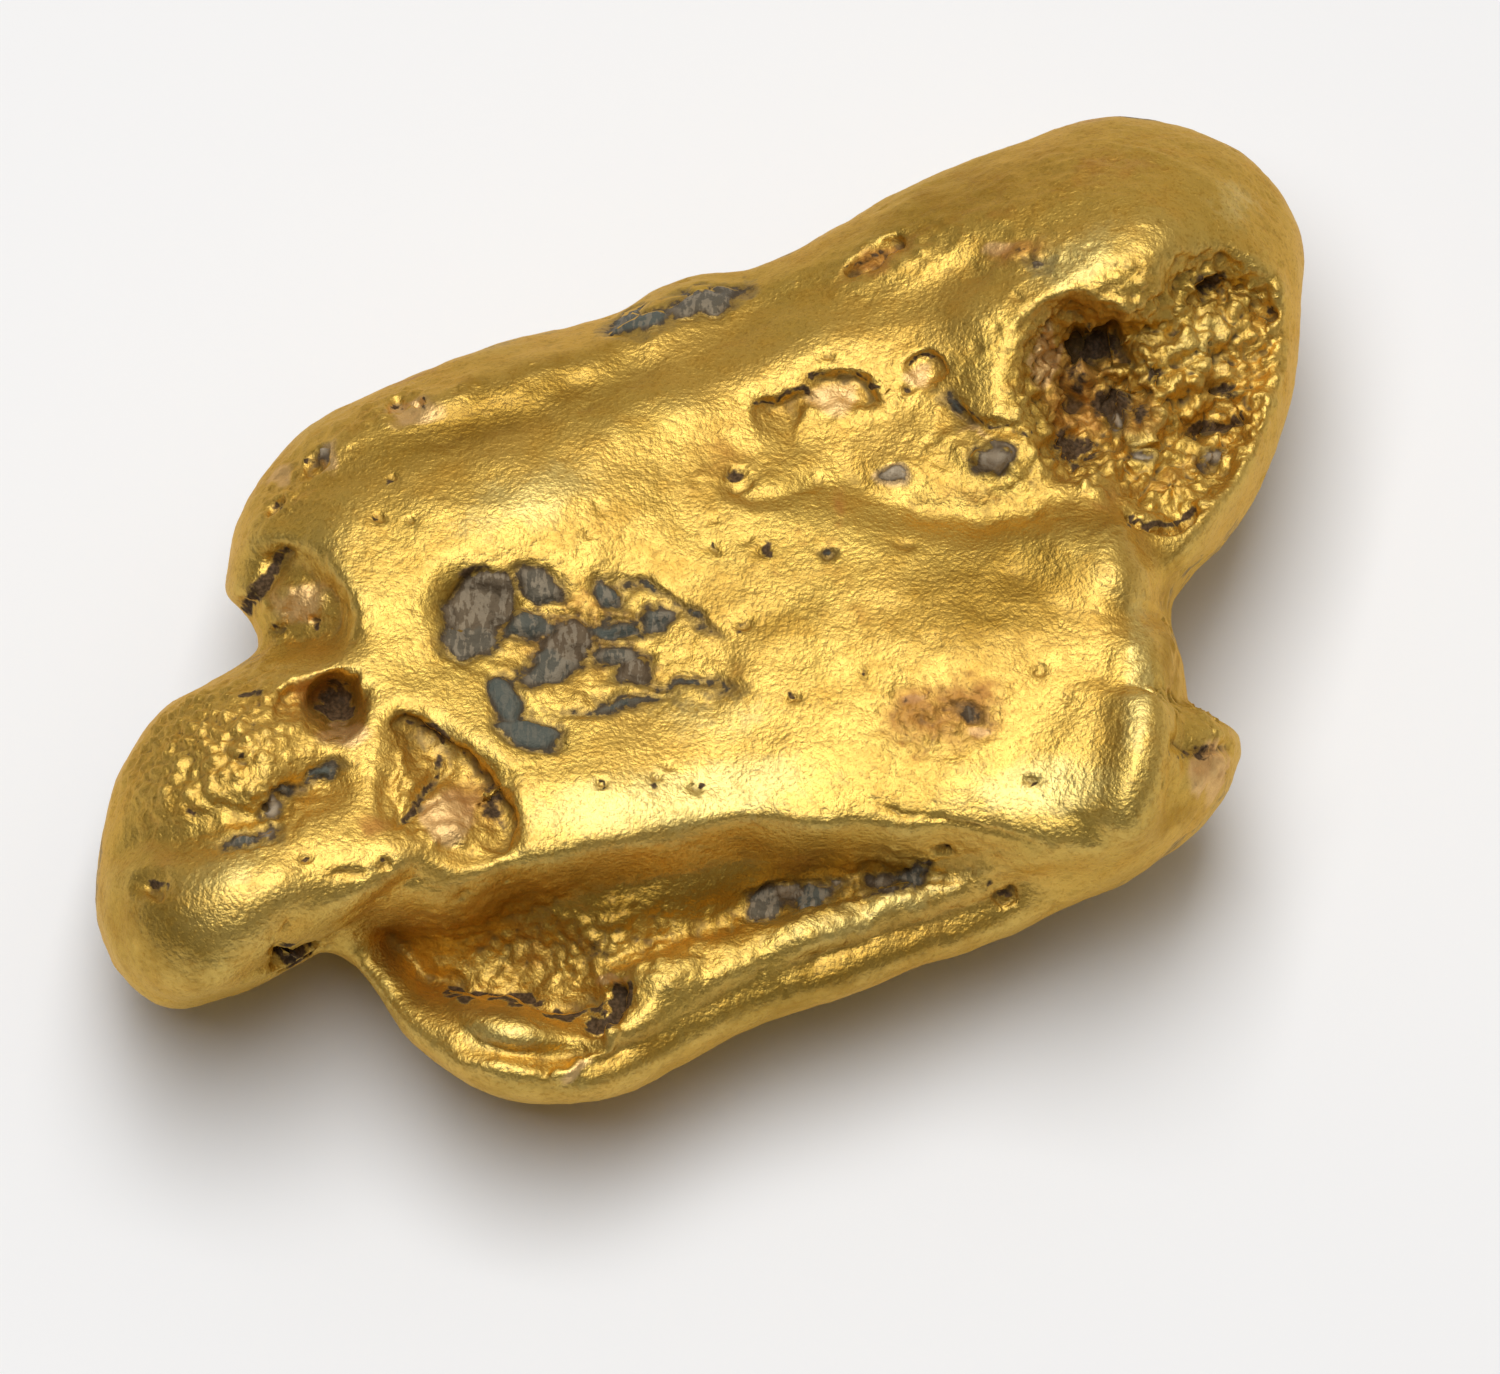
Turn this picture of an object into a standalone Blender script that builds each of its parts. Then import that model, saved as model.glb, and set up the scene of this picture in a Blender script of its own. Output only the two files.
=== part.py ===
"""Gold nugget: one water-worn lump of native gold, lying on a flat worn patch of its underside.

The nugget is shaped as a drawing of its broad face: "across" runs to the right, "up" runs up the
drawing and "out" comes towards the viewer. Its outline is blown up into a pebble, the ridges, ledges,
hollows and pits are pressed into the face and the back, and the pebble is then tipped back by
FACE_TIP to lie on the ground (z = 0).
"""
import math

import bmesh
import bpy
import numpy as np
from mathutils import Matrix, Vector, noise

MM = 0.001

# Driving sizes in millimetres, and the angle between the drawing of the face and the ground
FACE_TIP = math.radians(30)
RIM_HEIGHT = 5.0
RIM_RISE = 0.11
TOP_HEIGHT = 9.1
BELLY_CENTRE = (0.9, -3.3)
BELLY_RISE = 1.8
BELLY_REACH = 10.0
BASE_CUT = 0.5
CALM_REACH = 4.5
PEBBLE_STEPS = 7
OPEN_EDGE = 1.2
SKIN_STEP = 0.22
TRIANGLES = 8600

GOLD = (0.80, 0.52, 0.12, 1.0)
GOLD_ROUGHNESS = 0.3

# The edge of the nugget as (across, up), anticlockwise from the tip of the right-hand lobe
OUTLINE = [
    (15.2, 8.9), (15.0, 9.9), (14.3, 11.1), (13.5, 11.9), (12.05, 12.45), (10.4, 12.6), (8.7, 12.25),
    (6.6, 11.4), (5.1, 10.8), (3.65, 9.9), (2.3, 9.2), (1.2, 8.7), (-0.1, 8.55), (-1.2, 8.15),
    (-2.2, 7.55), (-3.4, 7.25), (-4.8, 6.95), (-6.6, 6.3), (-8.4, 5.55), (-9.9, 4.7), (-11.0, 3.5),
    (-11.6, 2.2), (-11.9, 0.9), (-11.85, 0.4), (-11.3, -0.1), (-11.1, -0.9), (-12.0, -1.6),
    (-13.2, -2.2), (-14.05, -3.2), (-14.75, -4.7), (-15.0, -6.7), (-14.8, -8.15), (-14.0, -9.25),
    (-12.95, -9.75), (-11.6, -9.45), (-10.4, -8.95), (-9.6, -8.35), (-8.8, -8.5), (-8.1, -9.2),
    (-7.3, -10.4), (-6.2, -11.35), (-4.9, -11.9), (-3.3, -12.1), (-1.9, -11.8), (-0.6, -11.15),
    (1.3, -10.25), (3.7, -9.4), (7.2, -8.1), (9.0, -7.3), (10.6, -6.6), (12.0, -5.7), (13.0, -4.6),
    (13.5, -3.4), (13.35, -2.75), (12.85, -2.55), (12.25, -2.4), (12.05, -1.3), (11.8, 0.0),
    (12.3, 0.85), (13.15, 1.75), (13.85, 2.8), (14.45, 4.1), (14.9, 5.9), (15.1, 7.4),
]

# Radius of the rolled edge, on the face and on the back, at angles round the outline from the right
FACE_ROLL = [(0, 2.4), (25, 4.2), (60, 4.6), (100, 3.4), (150, 3.2), (180, 3.4), (205, 4.6), (235, 4.6),
             (265, 5.0), (300, 4.6), (335, 3.2)]
BACK_ROLL = [(0, 6.0), (60, 7.5), (120, 6.0), (180, 6.0), (240, 6.5), (300, 6.5)]

# Terraces of the face, each an area pressed down: depth, half width of its wall, then its border
FACE_TERRACES = [
    # the front terrace, below the brow that crosses the face
    (1.5, 0.75, [(-8.1, -7.9), (-6.2, -7.3), (-3.5, -6.4), (-1.2, -5.9), (1.5, -5.6), (4.5, -5.75),
                 (7.0, -5.95), (9.3, -6.3), (10.0, -7.6), (5.0, -10.5), (-4.0, -14.5), (-8.6, -12.5),
                 (-9.0, -9.3)]),
    # the crystal hollow of the right-hand lobe
    (1.35, 0.4, [(8.5, 7.3), (9.4, 7.8), (10.5, 7.3), (11.3, 7.6), (11.7, 8.7), (12.9, 8.9), (13.9, 8.4),
                 (14.4, 7.6), (14.2, 5.6), (13.5, 4.2), (12.6, 3.1), (11.9, 2.5), (11.0, 2.7), (10.0, 3.4),
                 (9.0, 3.6), (8.4, 4.6), (8.25, 6.1)]),
    # the recess at the left-hand notch
    (1.2, 0.35, [(-12.2, 0.6), (-11.2, 1.5), (-10.0, 1.4), (-8.9, 0.7), (-8.7, -0.2), (-9.3, -0.9),
                 (-10.6, -0.9), (-12.2, -0.7)]),
    # the three-cornered pit
    (0.6, 0.3, [(-7.5, -2.5), (-6.6, -2.8), (-5.4, -3.6), (-4.6, -4.6), (-4.5, -5.6), (-5.6, -6.1),
                  (-7.2, -5.6), (-7.9, -4.9), (-7.7, -3.7)]),
    # the grained pit in the middle of the face, and the stained patch on the slab
    (0.25, 0.4, [(-6.6, -0.3), (-6.3, 0.8), (-4.6, 1.4), (-2.4, 1.0), (-0.9, 0.2), (0.6, -0.9), (0.9, -1.8),
                 (-1.0, -2.4), (-3.0, -2.2), (-5.0, -1.6)]),
    (0.2, 0.25, [(4.2, -2.4), (5.2, -1.9), (6.3, -1.7), (7.4, -2.0), (7.3, -2.9), (6.0, -3.4), (4.7, -3.2)]),
]

# Ridges (positive) and grooves (negative) of the face: lift, half width, then the line they follow
FACE_RIDGES = [
    # the brow that crosses the left-hand lobe, the slope that rolls down to the front, and the front ledge
    (0.35, 1.1, [(-14.0, -7.2), (-12.0, -7.0), (-10.0, -6.5), (-6.3, -5.8)]),
    (-1.1, 2.5, [(-8.5, -9.6), (-5.0, -8.8), (-1.5, -7.9), (2.0, -7.4), (6.0, -7.5), (10.0, -7.8)]),
    (-0.5, 0.8, [(-1.0, -8.0), (2.0, -7.1), (5.0, -6.6), (7.0, -6.5)]),
    (0.9, 0.8, [(-1.8, -10.0), (0.0, -9.1), (2.0, -8.35), (5.0, -7.3), (8.0, -6.5), (11.0, -5.8)]),
    # the rolled far edge and the crease behind it
    (0.4, 0.9, [(-11.3, 0.9), (-10.9, 2.6), (-9.5, 4.2), (-7.4, 5.3), (-4.6, 6.2), (-1.6, 7.2)]),
    (-0.5, 0.8, [(-10.3, 2.4), (-9.3, 3.5), (-7.2, 4.35), (-4.8, 5.0), (-2.0, 6.0), (0.0, 6.8),
                   (2.5, 7.75), (5.2, 8.2), (6.8, 8.6)]),
    # the bright shoulder beside the crystal hollow, and the hollow's outer rim
    (0.6, 1.1, [(7.4, 4.6), (7.5, 6.9), (9.0, 8.3), (10.6, 8.9), (11.3, 9.6)]),
    (0.6, 0.55, [(14.9, 8.2), (14.75, 6.0), (14.1, 4.0), (13.0, 2.3), (11.5, 1.0)]),
    # the edge of the slab that overlaps the right-hand lobe
    (-0.4, 0.7, [(3.6, 3.3), (5.0, 2.75), (6.5, 2.4), (8.5, 2.75), (9.9, 3.05), (10.7, 2.5), (11.3, 1.3)]),
    (0.65, 0.9, [(9.2, 2.0), (10.1, 0.9), (10.7, -1.0), (10.9, -3.2), (10.6, -4.8)]),
    # the step across the left-hand lobe
    (-0.55, 0.5, [(-14.2, -5.7), (-12.5, -5.4), (-10.9, -4.9), (-9.2, -4.2)]),
    (0.35, 0.9, [(-14.0, -4.0), (-12.6, -3.2), (-10.8, -3.2)]),
    # the torn fold of the lower lobe
    (-0.4, 0.3, [(-6.6, -9.0), (-5.4, -9.5), (-4.4, -9.6), (-3.2, -9.8), (-2.0, -9.4)]),
    (0.4, 0.5, [(-6.7, -9.7), (-5.4, -10.1), (-4.2, -10.1)]),
    (-0.25, 0.35, [(-5.6, -10.8), (-4.2, -11.0), (-3.0, -10.9)]),
]

# Swellings (positive) and broad dips (negative) of the face: lift, centre, half sizes, turn in degrees
FACE_SWELLS = [
    (1.3, (10.6, 9.2), (4.6, 3.0), 20),
    (0.5, (-4.4, 2.3), (3.4, 1.6), 20),
    (-0.5, (-2.2, -1.0), (4.2, 2.4), -15),
    (-0.5, (2.8, 4.6), (4.0, 1.3), 10),
    (0.65, (6.9, -0.6), (4.4, 2.6), 8),
    (-1.3, (-9.4, -9.0), (1.5, 1.6), 0),
    (-2.0, (-4.6, -8.9), (3.4, 1.8), -8),
    (0.9, (-4.8, -10.6), (2.2, 1.2), -5),
    (-0.6, (12.6, 0.6), (1.3, 1.5), -40),
]

# Round pits of the face: depth, centre, half sizes, turn in degrees
FACE_PITS = [
    # the holes of the crystal hollow
    (0.7, (9.9, 5.5), (1.0, 1.8), -12),
    (0.6, (9.6, 6.6), (0.5, 0.5), 0),
    (0.7, (10.6, 5.3), (0.55, 0.7), 20),
    (0.6, (9.1, 4.1), (0.55, 0.5), 0),
    (0.6, (12.6, 4.7), (0.75, 0.4), 25),
    (0.6, (12.8, 8.0), (0.7, 0.4), 15),
    # the round hole of the left-hand lobe, and the dark heart of the notch below it
    (1.7, (-8.95, -2.25), (0.7, 0.72), 0),
    (0.6, (-9.9, -2.15), (0.6, 0.45), 0),
    (0.8, (-10.0, -8.55), (0.6, 0.4), 10),
    # the deep corner of the grained pit, and the gap behind the hook
    (0.45, (-5.4, 0.1), (0.8, 0.8), 30),
    (0.7, (12.1, -3.1), (0.5, 0.8), 5),
    (0.3, (5.6, 6.0), (0.5, 0.4), 0),
    (0.3, (4.4, 8.95), (0.8, 0.3), 32),
    # small pits of the far edge and of the left-hand lobe
    (0.4, (-7.35, 5.15), (0.42, 0.32), 20),
    (0.35, (-9.6, 3.85), (0.34, 0.3), 40),
    (0.35, (-10.6, 2.75), (0.32, 0.25), 40),
    (0.35, (-13.4, -6.7), (0.4, 0.32), 0),
]
PIT_WALL = 0.32

# Rubble of the face: height and size of its lumps, then the border of the area
FACE_RUBBLE = [
    (0.75, 1.0, [(8.7, 7.2), (10.4, 7.3), (11.5, 7.8), (12.9, 8.6), (14.2, 7.6), (14.0, 5.6), (13.3, 4.3),
                 (12.0, 2.8), (10.4, 3.3), (9.0, 3.8), (8.5, 5.5)]),
]

# Lumps, dips, creases and pits of the back, in the same form as those of the face
BACK_SWELLS = [
    (0.7, (9.5, 7.5), (3.6, 3.0), 20),
    (-1.3, (2.5, 6.2), (3.2, 1.9), 25),
    (-0.4, (-6.2, 3.6), (3.0, 2.2), 20),
    (-1.4, (-10.2, -2.2), (1.8, 2.0), 0),
    (0.5, (-12.2, -6.2), (2.4, 2.0), 0),
    (-1.2, (-8.3, -6.9), (2.2, 1.5), -30),
    (0.4, (-3.6, -8.2), (3.0, 2.0), 0),
    (-1.0, (6.5, -4.8), (3.0, 1.4), 15),
    (-1.3, (9.8, 0.8), (2.2, 1.8), 30),
    (-0.8, (13.0, 4.0), (1.4, 2.0), 0),
]
BACK_RIDGES = [
    (-0.7, 0.5, [(-9.0, 5.0), (-7.2, 3.4), (-5.5, 3.0), (-3.0, 3.6), (-1.0, 5.2)]),
    (-0.6, 0.45, [(4.0, 3.0), (6.5, 3.6), (8.6, 5.4), (9.0, 8.0)]),
    (0.5, 0.8, [(-9.8, 2.8), (-7.0, 1.6), (-4.0, 1.2)]),
    (-0.5, 0.4, [(-13.5, -5.0), (-11.6, -5.4), (-10.0, -4.2)]),
    (-0.6, 0.45, [(-4.5, -9.8), (-1.5, -8.0), (2.0, -7.2), (4.0, -6.4)]),
]
BACK_PITS = [
    (0.6, (5.0, 8.6), (1.2, 0.6), 20),
    (0.5, (-8.6, 3.9), (1.0, 0.6), 30),
    (0.6, (11.6, 9.3), (1.1, 0.6), 0),
    (0.5, (-12.6, -4.4), (0.6, 0.8), 0),
    (0.5, (7.6, -5.9), (1.1, 0.5), 20),
    (0.5, (12.3, 1.9), (0.9, 0.6), 0),
]

# Waviness of the drawn lines, and the river-worn unevenness of the whole skin
WAVER = 0.22
WAVER_STEP = 1.5
WORN_FACE = 0.09
WORN_BACK = 0.3
WORN_LUMP = 2.6
BOSS = 0.75
BOSS_STEP = 6.5
SKIN_SEED = Vector((3.7, 11.3, 5.9))
DRIFT_SHIFTS = [Vector((9.3, -1.5, -8.0)), Vector((0.0, 0.0, 0.0)), Vector((5.2, 17.1, 0.2))]


def smooth_line(points, closed=False, steps=8):
    """Points read from a smooth curve through the given ones."""
    points = np.array(points, float)
    if closed:
        padded = np.vstack([points[-1:], points, points[:2]])
    else:
        padded = np.vstack([2 * points[0] - points[1], points, 2 * points[-1] - points[-2]])
    a, b, c, d = padded[:-3, None], padded[1:-2, None], padded[2:-1, None], padded[3:, None]
    t = np.linspace(0, 1, steps, endpoint=False)[None, :, None]
    curve = 0.5 * (2 * b + (c - a) * t + (2 * a - 5 * b + 4 * c - d) * t**2 + (3 * b - a - 3 * c + d) * t**3)
    curve = curve.reshape(-1, 2)
    return curve if closed else np.vstack([curve, points[-1]])


def outline_radius(angles):
    """Distance from the middle of the drawing to the outline, at each angle."""
    line = smooth_line(OUTLINE, closed=True)
    line_angles = np.arctan2(line[:, 1], line[:, 0])
    order = np.argsort(line_angles)
    return np.interp(angles, line_angles[order], np.hypot(line[:, 0], line[:, 1])[order], period=2 * math.pi)


def around(angles, stops):
    """A value that changes smoothly round the outline between (degrees, value) stops."""
    where = np.radians([stop[0] for stop in stops])
    values = np.array([stop[1] for stop in stops], float)
    fine = np.linspace(0, 2 * math.pi, 361)
    linear = np.interp(fine, where, values, period=2 * math.pi)[:-1]
    window = np.hanning(41)
    smooth = np.convolve(np.tile(linear, 3), window / window.sum(), mode="same")[360:720]
    return np.interp(angles, fine[:-1], smooth, period=2 * math.pi)


def line_distance(at, line):
    """Shortest distance from each point of the drawing to a line."""
    nearest = np.full(len(at), np.inf)
    for start, end in zip(line[:-1], line[1:]):
        along = end - start
        share = np.clip(((at - start) @ along) / (along @ along), 0, 1)
        nearest = np.minimum(nearest, np.linalg.norm(at - start - share[:, None] * along, axis=1))
    return nearest


def oval_distance(at, centre, half_sizes, turn):
    """Distance from the centre of a turned oval, 1 on its edge."""
    angle = math.radians(turn)
    offset = at - np.array(centre)
    along = offset @ np.array([math.cos(angle), math.sin(angle)])
    aside = offset @ np.array([-math.sin(angle), math.cos(angle)])
    return np.hypot(along / half_sizes[0], aside / half_sizes[1])


def inside(at, border):
    """Which points of the drawing lie inside a closed line."""
    within = np.zeros(len(at), bool)
    for start, end in zip(border, np.roll(border, -1, axis=0)):
        crosses = (start[1] > at[:, 1]) != (end[1] > at[:, 1])
        rise = end[1] - start[1] if end[1] != start[1] else 1
        edge = start[0] + (at[:, 1] - start[1]) / rise * (end[0] - start[0])
        within ^= crosses & (at[:, 0] < edge)
    return within


def eased(share):
    """A soft step from 0 to 1."""
    share = np.clip(share, 0, 1)
    return share**2 * (3 - 2 * share)


def terraces(at, table):
    lift = np.zeros(len(at))
    for depth, wall, points in table:
        border = smooth_line(points, closed=True)
        distance = line_distance(at, np.vstack([border, border[:1]]))
        inwards = np.where(inside(at, border), distance, -distance)
        lift -= depth * eased(0.5 + inwards / (2 * wall))
    return lift


def ridges(at, table):
    lift = np.zeros(len(at))
    for height, width, line in table:
        lift += height * np.exp(-(line_distance(at, smooth_line(line)) / width) ** 2)
    return lift


def swells(at, table):
    lift = np.zeros(len(at))
    for height, centre, half_sizes, turn in table:
        lift += height * np.exp(-oval_distance(at, centre, half_sizes, turn) ** 2)
    return lift


def pits(at, table):
    """Floors pressed down inside ovals, with soft walls PIT_WALL of their half size wide on each side."""
    lift = np.zeros(len(at))
    for depth, centre, half_sizes, turn in table:
        distance = oval_distance(at, centre, half_sizes, turn)
        lift -= depth * eased((1 + PIT_WALL - distance) / (2 * PIT_WALL))
    return lift


def rubble(at, table):
    lift = np.zeros(len(at))
    for height, size, points in table:
        within = inside(at, smooth_line(points, closed=True))
        lumps = [noise.noise(Vector((x, y, 0)) / size + SKIN_SEED) for x, y in at[within]]
        lift[within] += height * np.array(lumps)
    return lift


def drift(place):
    """A slow noise that points in a direction of its own at each place."""
    return Vector([noise.noise(place + shift) for shift in DRIFT_SHIFTS])


def wavered(at):
    """The points of the drawing moved a little, so that no drawn line stays even."""
    moves = [drift(Vector((x, y, 0)) / WAVER_STEP + SKIN_SEED)[:2] for x, y in at]
    return at + WAVER * np.array(moves)


def out_at_height(at, height):
    """How far out of the drawing a point lies, to stand at a height above the ground after the tipping."""
    return (height - RIM_HEIGHT - at[:, 1] * math.sin(FACE_TIP)) / math.cos(FACE_TIP)


def belly_height(at):
    """Height of the underside, lowest under the nugget's centre of mass."""
    away = (at - np.array(BELLY_CENTRE)) / np.array([1, math.cos(FACE_TIP)]) / BELLY_REACH
    return BELLY_RISE * (1 - np.exp(-(away**2).sum(axis=1)))


def rolled_edge(inset, radius):
    """0 at the outline, 1 from radius inwards, and a quarter round between them."""
    return np.sqrt(1 - (1 - np.clip(inset / radius, 0, 1)) ** 2)


def pebble(directions):
    """Places the points of a unit ball on the nugget: the upper half on its face, the lower on its back."""
    angles = np.arctan2(directions[:, 1], directions[:, 0])
    share = np.hypot(directions[:, 0], directions[:, 1])
    reach = outline_radius(angles)
    at = directions[:, :2] * reach[:, None]
    inset = reach * (1 - np.clip(share, 0, 1))
    drawn = wavered(at)

    rim = out_at_height(at, RIM_HEIGHT + RIM_RISE * at[:, 1])
    face = out_at_height(at, np.full(len(at), TOP_HEIGHT)) - rim
    face_relief = terraces(drawn, FACE_TERRACES) + ridges(drawn, FACE_RIDGES)
    face_relief += swells(drawn, FACE_SWELLS) + pits(drawn, FACE_PITS) + rubble(drawn, FACE_RUBBLE)
    back = rim - out_at_height(at, belly_height(at))
    back_relief = ridges(drawn, BACK_RIDGES) + swells(drawn, BACK_SWELLS) + pits(drawn, BACK_PITS)

    open_edge = np.clip(inset / OPEN_EDGE, 0, 1)
    out_face = face * rolled_edge(inset, around(angles, FACE_ROLL)) + face_relief * open_edge
    out_back = -back * rolled_edge(inset, around(angles, BACK_ROLL)) - back_relief * open_edge
    out = rim + np.where(directions[:, 2] >= 0, out_face, out_back)
    return np.column_stack([at, out])


def boss_height(place):
    """Worn bosses with creases between them, 0 in the creases and 1 on the bosses."""
    nearest = noise.voronoi(place + 0.25 * drift(place * 1.3))[0]
    gap = (nearest[1] - nearest[0]) / 0.4
    return float(eased(gap))


def wear(mesh):
    """Moves the skin in and out along its normals, more on the back than on the face."""
    mesh.normal_update()
    for vertex in mesh.verts:
        behind = min(1, max(0, -0.15 - 1.6 * vertex.normal.z))
        place = vertex.co / MM
        behind *= 1 - math.exp(-((place.xy - Vector(BELLY_CENTRE)).length / CALM_REACH) ** 2)
        place += SKIN_SEED
        lift = (WORN_FACE + (WORN_BACK - WORN_FACE) * behind) * noise.fractal(place / WORN_LUMP, 1.0, 2.0, 2)
        if behind:
            lift += BOSS * behind * (boss_height(place / BOSS_STEP) - 1)
        vertex.co += vertex.normal * lift * MM


def nugget_surface():
    """The nugget's closed surface in metres, tipped back above the ground."""
    mesh = bmesh.new()
    bmesh.ops.create_icosphere(mesh, subdivisions=PEBBLE_STEPS, radius=1)
    ball = np.array([vertex.co[:] for vertex in mesh.verts])
    for vertex, place in zip(mesh.verts, pebble(ball)):
        vertex.co = place * MM
    wear(mesh)
    tip = Matrix.Translation((0, 0, RIM_HEIGHT * MM)) @ Matrix.Rotation(FACE_TIP, 4, "X")
    bmesh.ops.transform(mesh, matrix=tip, verts=mesh.verts)
    return mesh


def evened(mesh, step, triangles):
    """The same surface with even, softened steps, and then with few triangles, small where it bends."""
    data = bpy.data.meshes.new("dense nugget")
    mesh.to_mesh(data)
    dense = bpy.data.objects.new("dense nugget", data)
    bpy.context.scene.collection.objects.link(dense)
    skin = dense.modifiers.new("even skin", "REMESH")
    skin.mode = "VOXEL"
    skin.voxel_size = step * MM
    soften = dense.modifiers.new("soften", "SMOOTH")
    soften.factor = 0.5
    soften.iterations = 3
    graph = bpy.context.evaluated_depsgraph_get()
    count = 2 * len(dense.evaluated_get(graph).data.polygons)
    thin = dense.modifiers.new("thin", "DECIMATE")
    thin.ratio = triangles / count
    graph = bpy.context.evaluated_depsgraph_get()
    mesh.clear()
    mesh.from_mesh(bpy.data.meshes.new_from_object(dense.evaluated_get(graph)))
    bpy.data.objects.remove(dense)
    return mesh


def cut_base(mesh):
    """Cuts the flat patch that the nugget rests on and sets it down with its middle at the origin.

    Returns the move that set it down.
    """
    lowest = min(vertex.co.z for vertex in mesh.verts) + BASE_CUT * MM
    everything = mesh.verts[:] + mesh.edges[:] + mesh.faces[:]
    cut = bmesh.ops.bisect_plane(
        mesh, geom=everything, plane_co=(0, 0, lowest), plane_no=(0, 0, -1), clear_outer=True
    )
    edges = [item for item in cut["geom_cut"] if isinstance(item, bmesh.types.BMEdge)]
    bmesh.ops.holes_fill(mesh, edges=edges)
    bmesh.ops.recalc_face_normals(mesh, faces=mesh.faces)
    low = [min(vertex.co[axis] for vertex in mesh.verts) for axis in range(3)]
    high = [max(vertex.co[axis] for vertex in mesh.verts) for axis in range(3)]
    move = Vector((-(low[0] + high[0]) / 2, -(low[1] + high[1]) / 2, -low[2]))
    bmesh.ops.translate(mesh, verts=mesh.verts, vec=move)
    return move


def gold_material():
    material = bpy.data.materials.new("native gold")
    material.use_nodes = True
    shader = material.node_tree.nodes["Principled BSDF"]
    shader.inputs["Base Color"].default_value = GOLD
    shader.inputs["Metallic"].default_value = 1.0
    shader.inputs["Roughness"].default_value = GOLD_ROUGHNESS
    return material


def make_nugget(collection):
    mesh = evened(nugget_surface(), SKIN_STEP, TRIANGLES)
    cut_base(mesh)
    data = bpy.data.meshes.new("nugget")
    mesh.to_mesh(data)
    mesh.free()
    data.materials.append(gold_material())
    data.shade_smooth()
    nugget = bpy.data.objects.new("nugget", data)
    collection.objects.link(nugget)


def main():
    for thing in list(bpy.data.objects):
        bpy.data.objects.remove(thing)
    collection = bpy.data.collections.new("gold nugget")
    bpy.context.scene.collection.children.link(collection)
    make_nugget(collection)


main()
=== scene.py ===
"""Dresses the gold nugget: its worn skin with the hollow, pits, stains and mineral grains, and the stage.

The tables are in millimetres on a drawing of the nugget's broad face: "across" runs to the right, "up" runs
up the drawing and "out" comes towards the viewer. The drawing is tipped back by FACE_TIP onto the ground.
"""

import math
from itertools import product

import bmesh
import bpy
import numpy as np
from bpy.props import FloatProperty, FloatVectorProperty, IntProperty, PointerProperty
from mathutils import Matrix, Vector, noise


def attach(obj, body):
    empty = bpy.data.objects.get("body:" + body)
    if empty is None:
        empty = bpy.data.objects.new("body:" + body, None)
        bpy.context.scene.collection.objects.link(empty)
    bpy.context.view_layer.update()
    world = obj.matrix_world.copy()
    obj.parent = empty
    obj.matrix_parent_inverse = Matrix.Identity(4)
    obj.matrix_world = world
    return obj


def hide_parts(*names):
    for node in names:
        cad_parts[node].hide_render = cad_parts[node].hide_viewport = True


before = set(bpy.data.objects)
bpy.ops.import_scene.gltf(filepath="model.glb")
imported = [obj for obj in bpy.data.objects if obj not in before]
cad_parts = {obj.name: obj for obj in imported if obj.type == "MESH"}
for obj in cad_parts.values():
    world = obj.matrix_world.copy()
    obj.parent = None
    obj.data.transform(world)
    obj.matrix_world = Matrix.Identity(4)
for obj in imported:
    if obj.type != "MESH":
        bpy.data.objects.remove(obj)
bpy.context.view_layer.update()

bl_info = {
    "name": "Gold Nugget",
    "version": (1, 0, 0),
    "blender": (4, 5, 0),
    "location": "3D View > Sidebar > Nugget",
    "description": "Makes a water-worn gold nugget with its crystal hollow, pits and mineral grains",
    "category": "Add Mesh",
}

MM = 0.001

# How the drawing of the face lies on the ground, in millimetres
FACE_TIP = math.radians(30)
RIM_HEIGHT = 5.0
RIM_RISE = 0.11
TOP_HEIGHT = 9.1
FACE_ORIGIN = Vector((-0.1023, -0.2514, 4.5329))
BELLY_CENTRE = (0.9, -3.3)
BELLY_RISE = 1.8
BELLY_REACH = 10.0
CALM_REACH = 4.5
PEBBLE_STEPS = 7
OPEN_EDGE = 1.2

# The edge of the nugget as (across, up), anticlockwise from the tip of the right-hand lobe
OUTLINE = [
    (15.2, 8.9), (15.0, 9.9), (14.3, 11.1), (13.5, 11.9), (12.05, 12.45), (10.4, 12.6), (8.7, 12.25),
    (6.6, 11.4), (5.1, 10.8), (3.65, 9.9), (2.3, 9.2), (1.2, 8.7), (-0.1, 8.55), (-1.2, 8.15),
    (-2.2, 7.55), (-3.4, 7.25), (-4.8, 6.95), (-6.6, 6.3), (-8.4, 5.55), (-9.9, 4.7), (-11.0, 3.5),
    (-11.6, 2.2), (-11.9, 0.9), (-11.85, 0.4), (-11.3, -0.1), (-11.1, -0.9), (-12.0, -1.6),
    (-13.2, -2.2), (-14.05, -3.2), (-14.75, -4.7), (-15.0, -6.7), (-14.8, -8.15), (-14.0, -9.25),
    (-12.95, -9.75), (-11.6, -9.45), (-10.4, -8.95), (-9.6, -8.35), (-8.8, -8.5), (-8.1, -9.2),
    (-7.3, -10.4), (-6.2, -11.35), (-4.9, -11.9), (-3.3, -12.1), (-1.9, -11.8), (-0.6, -11.15),
    (1.3, -10.25), (3.7, -9.4), (7.2, -8.1), (9.0, -7.3), (10.6, -6.6), (12.0, -5.7), (13.0, -4.6),
    (13.5, -3.4), (13.35, -2.75), (12.85, -2.55), (12.25, -2.4), (12.05, -1.3), (11.8, 0.0),
    (12.3, 0.85), (13.15, 1.75), (13.85, 2.8), (14.45, 4.1), (14.9, 5.9), (15.1, 7.4),
]

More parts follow.
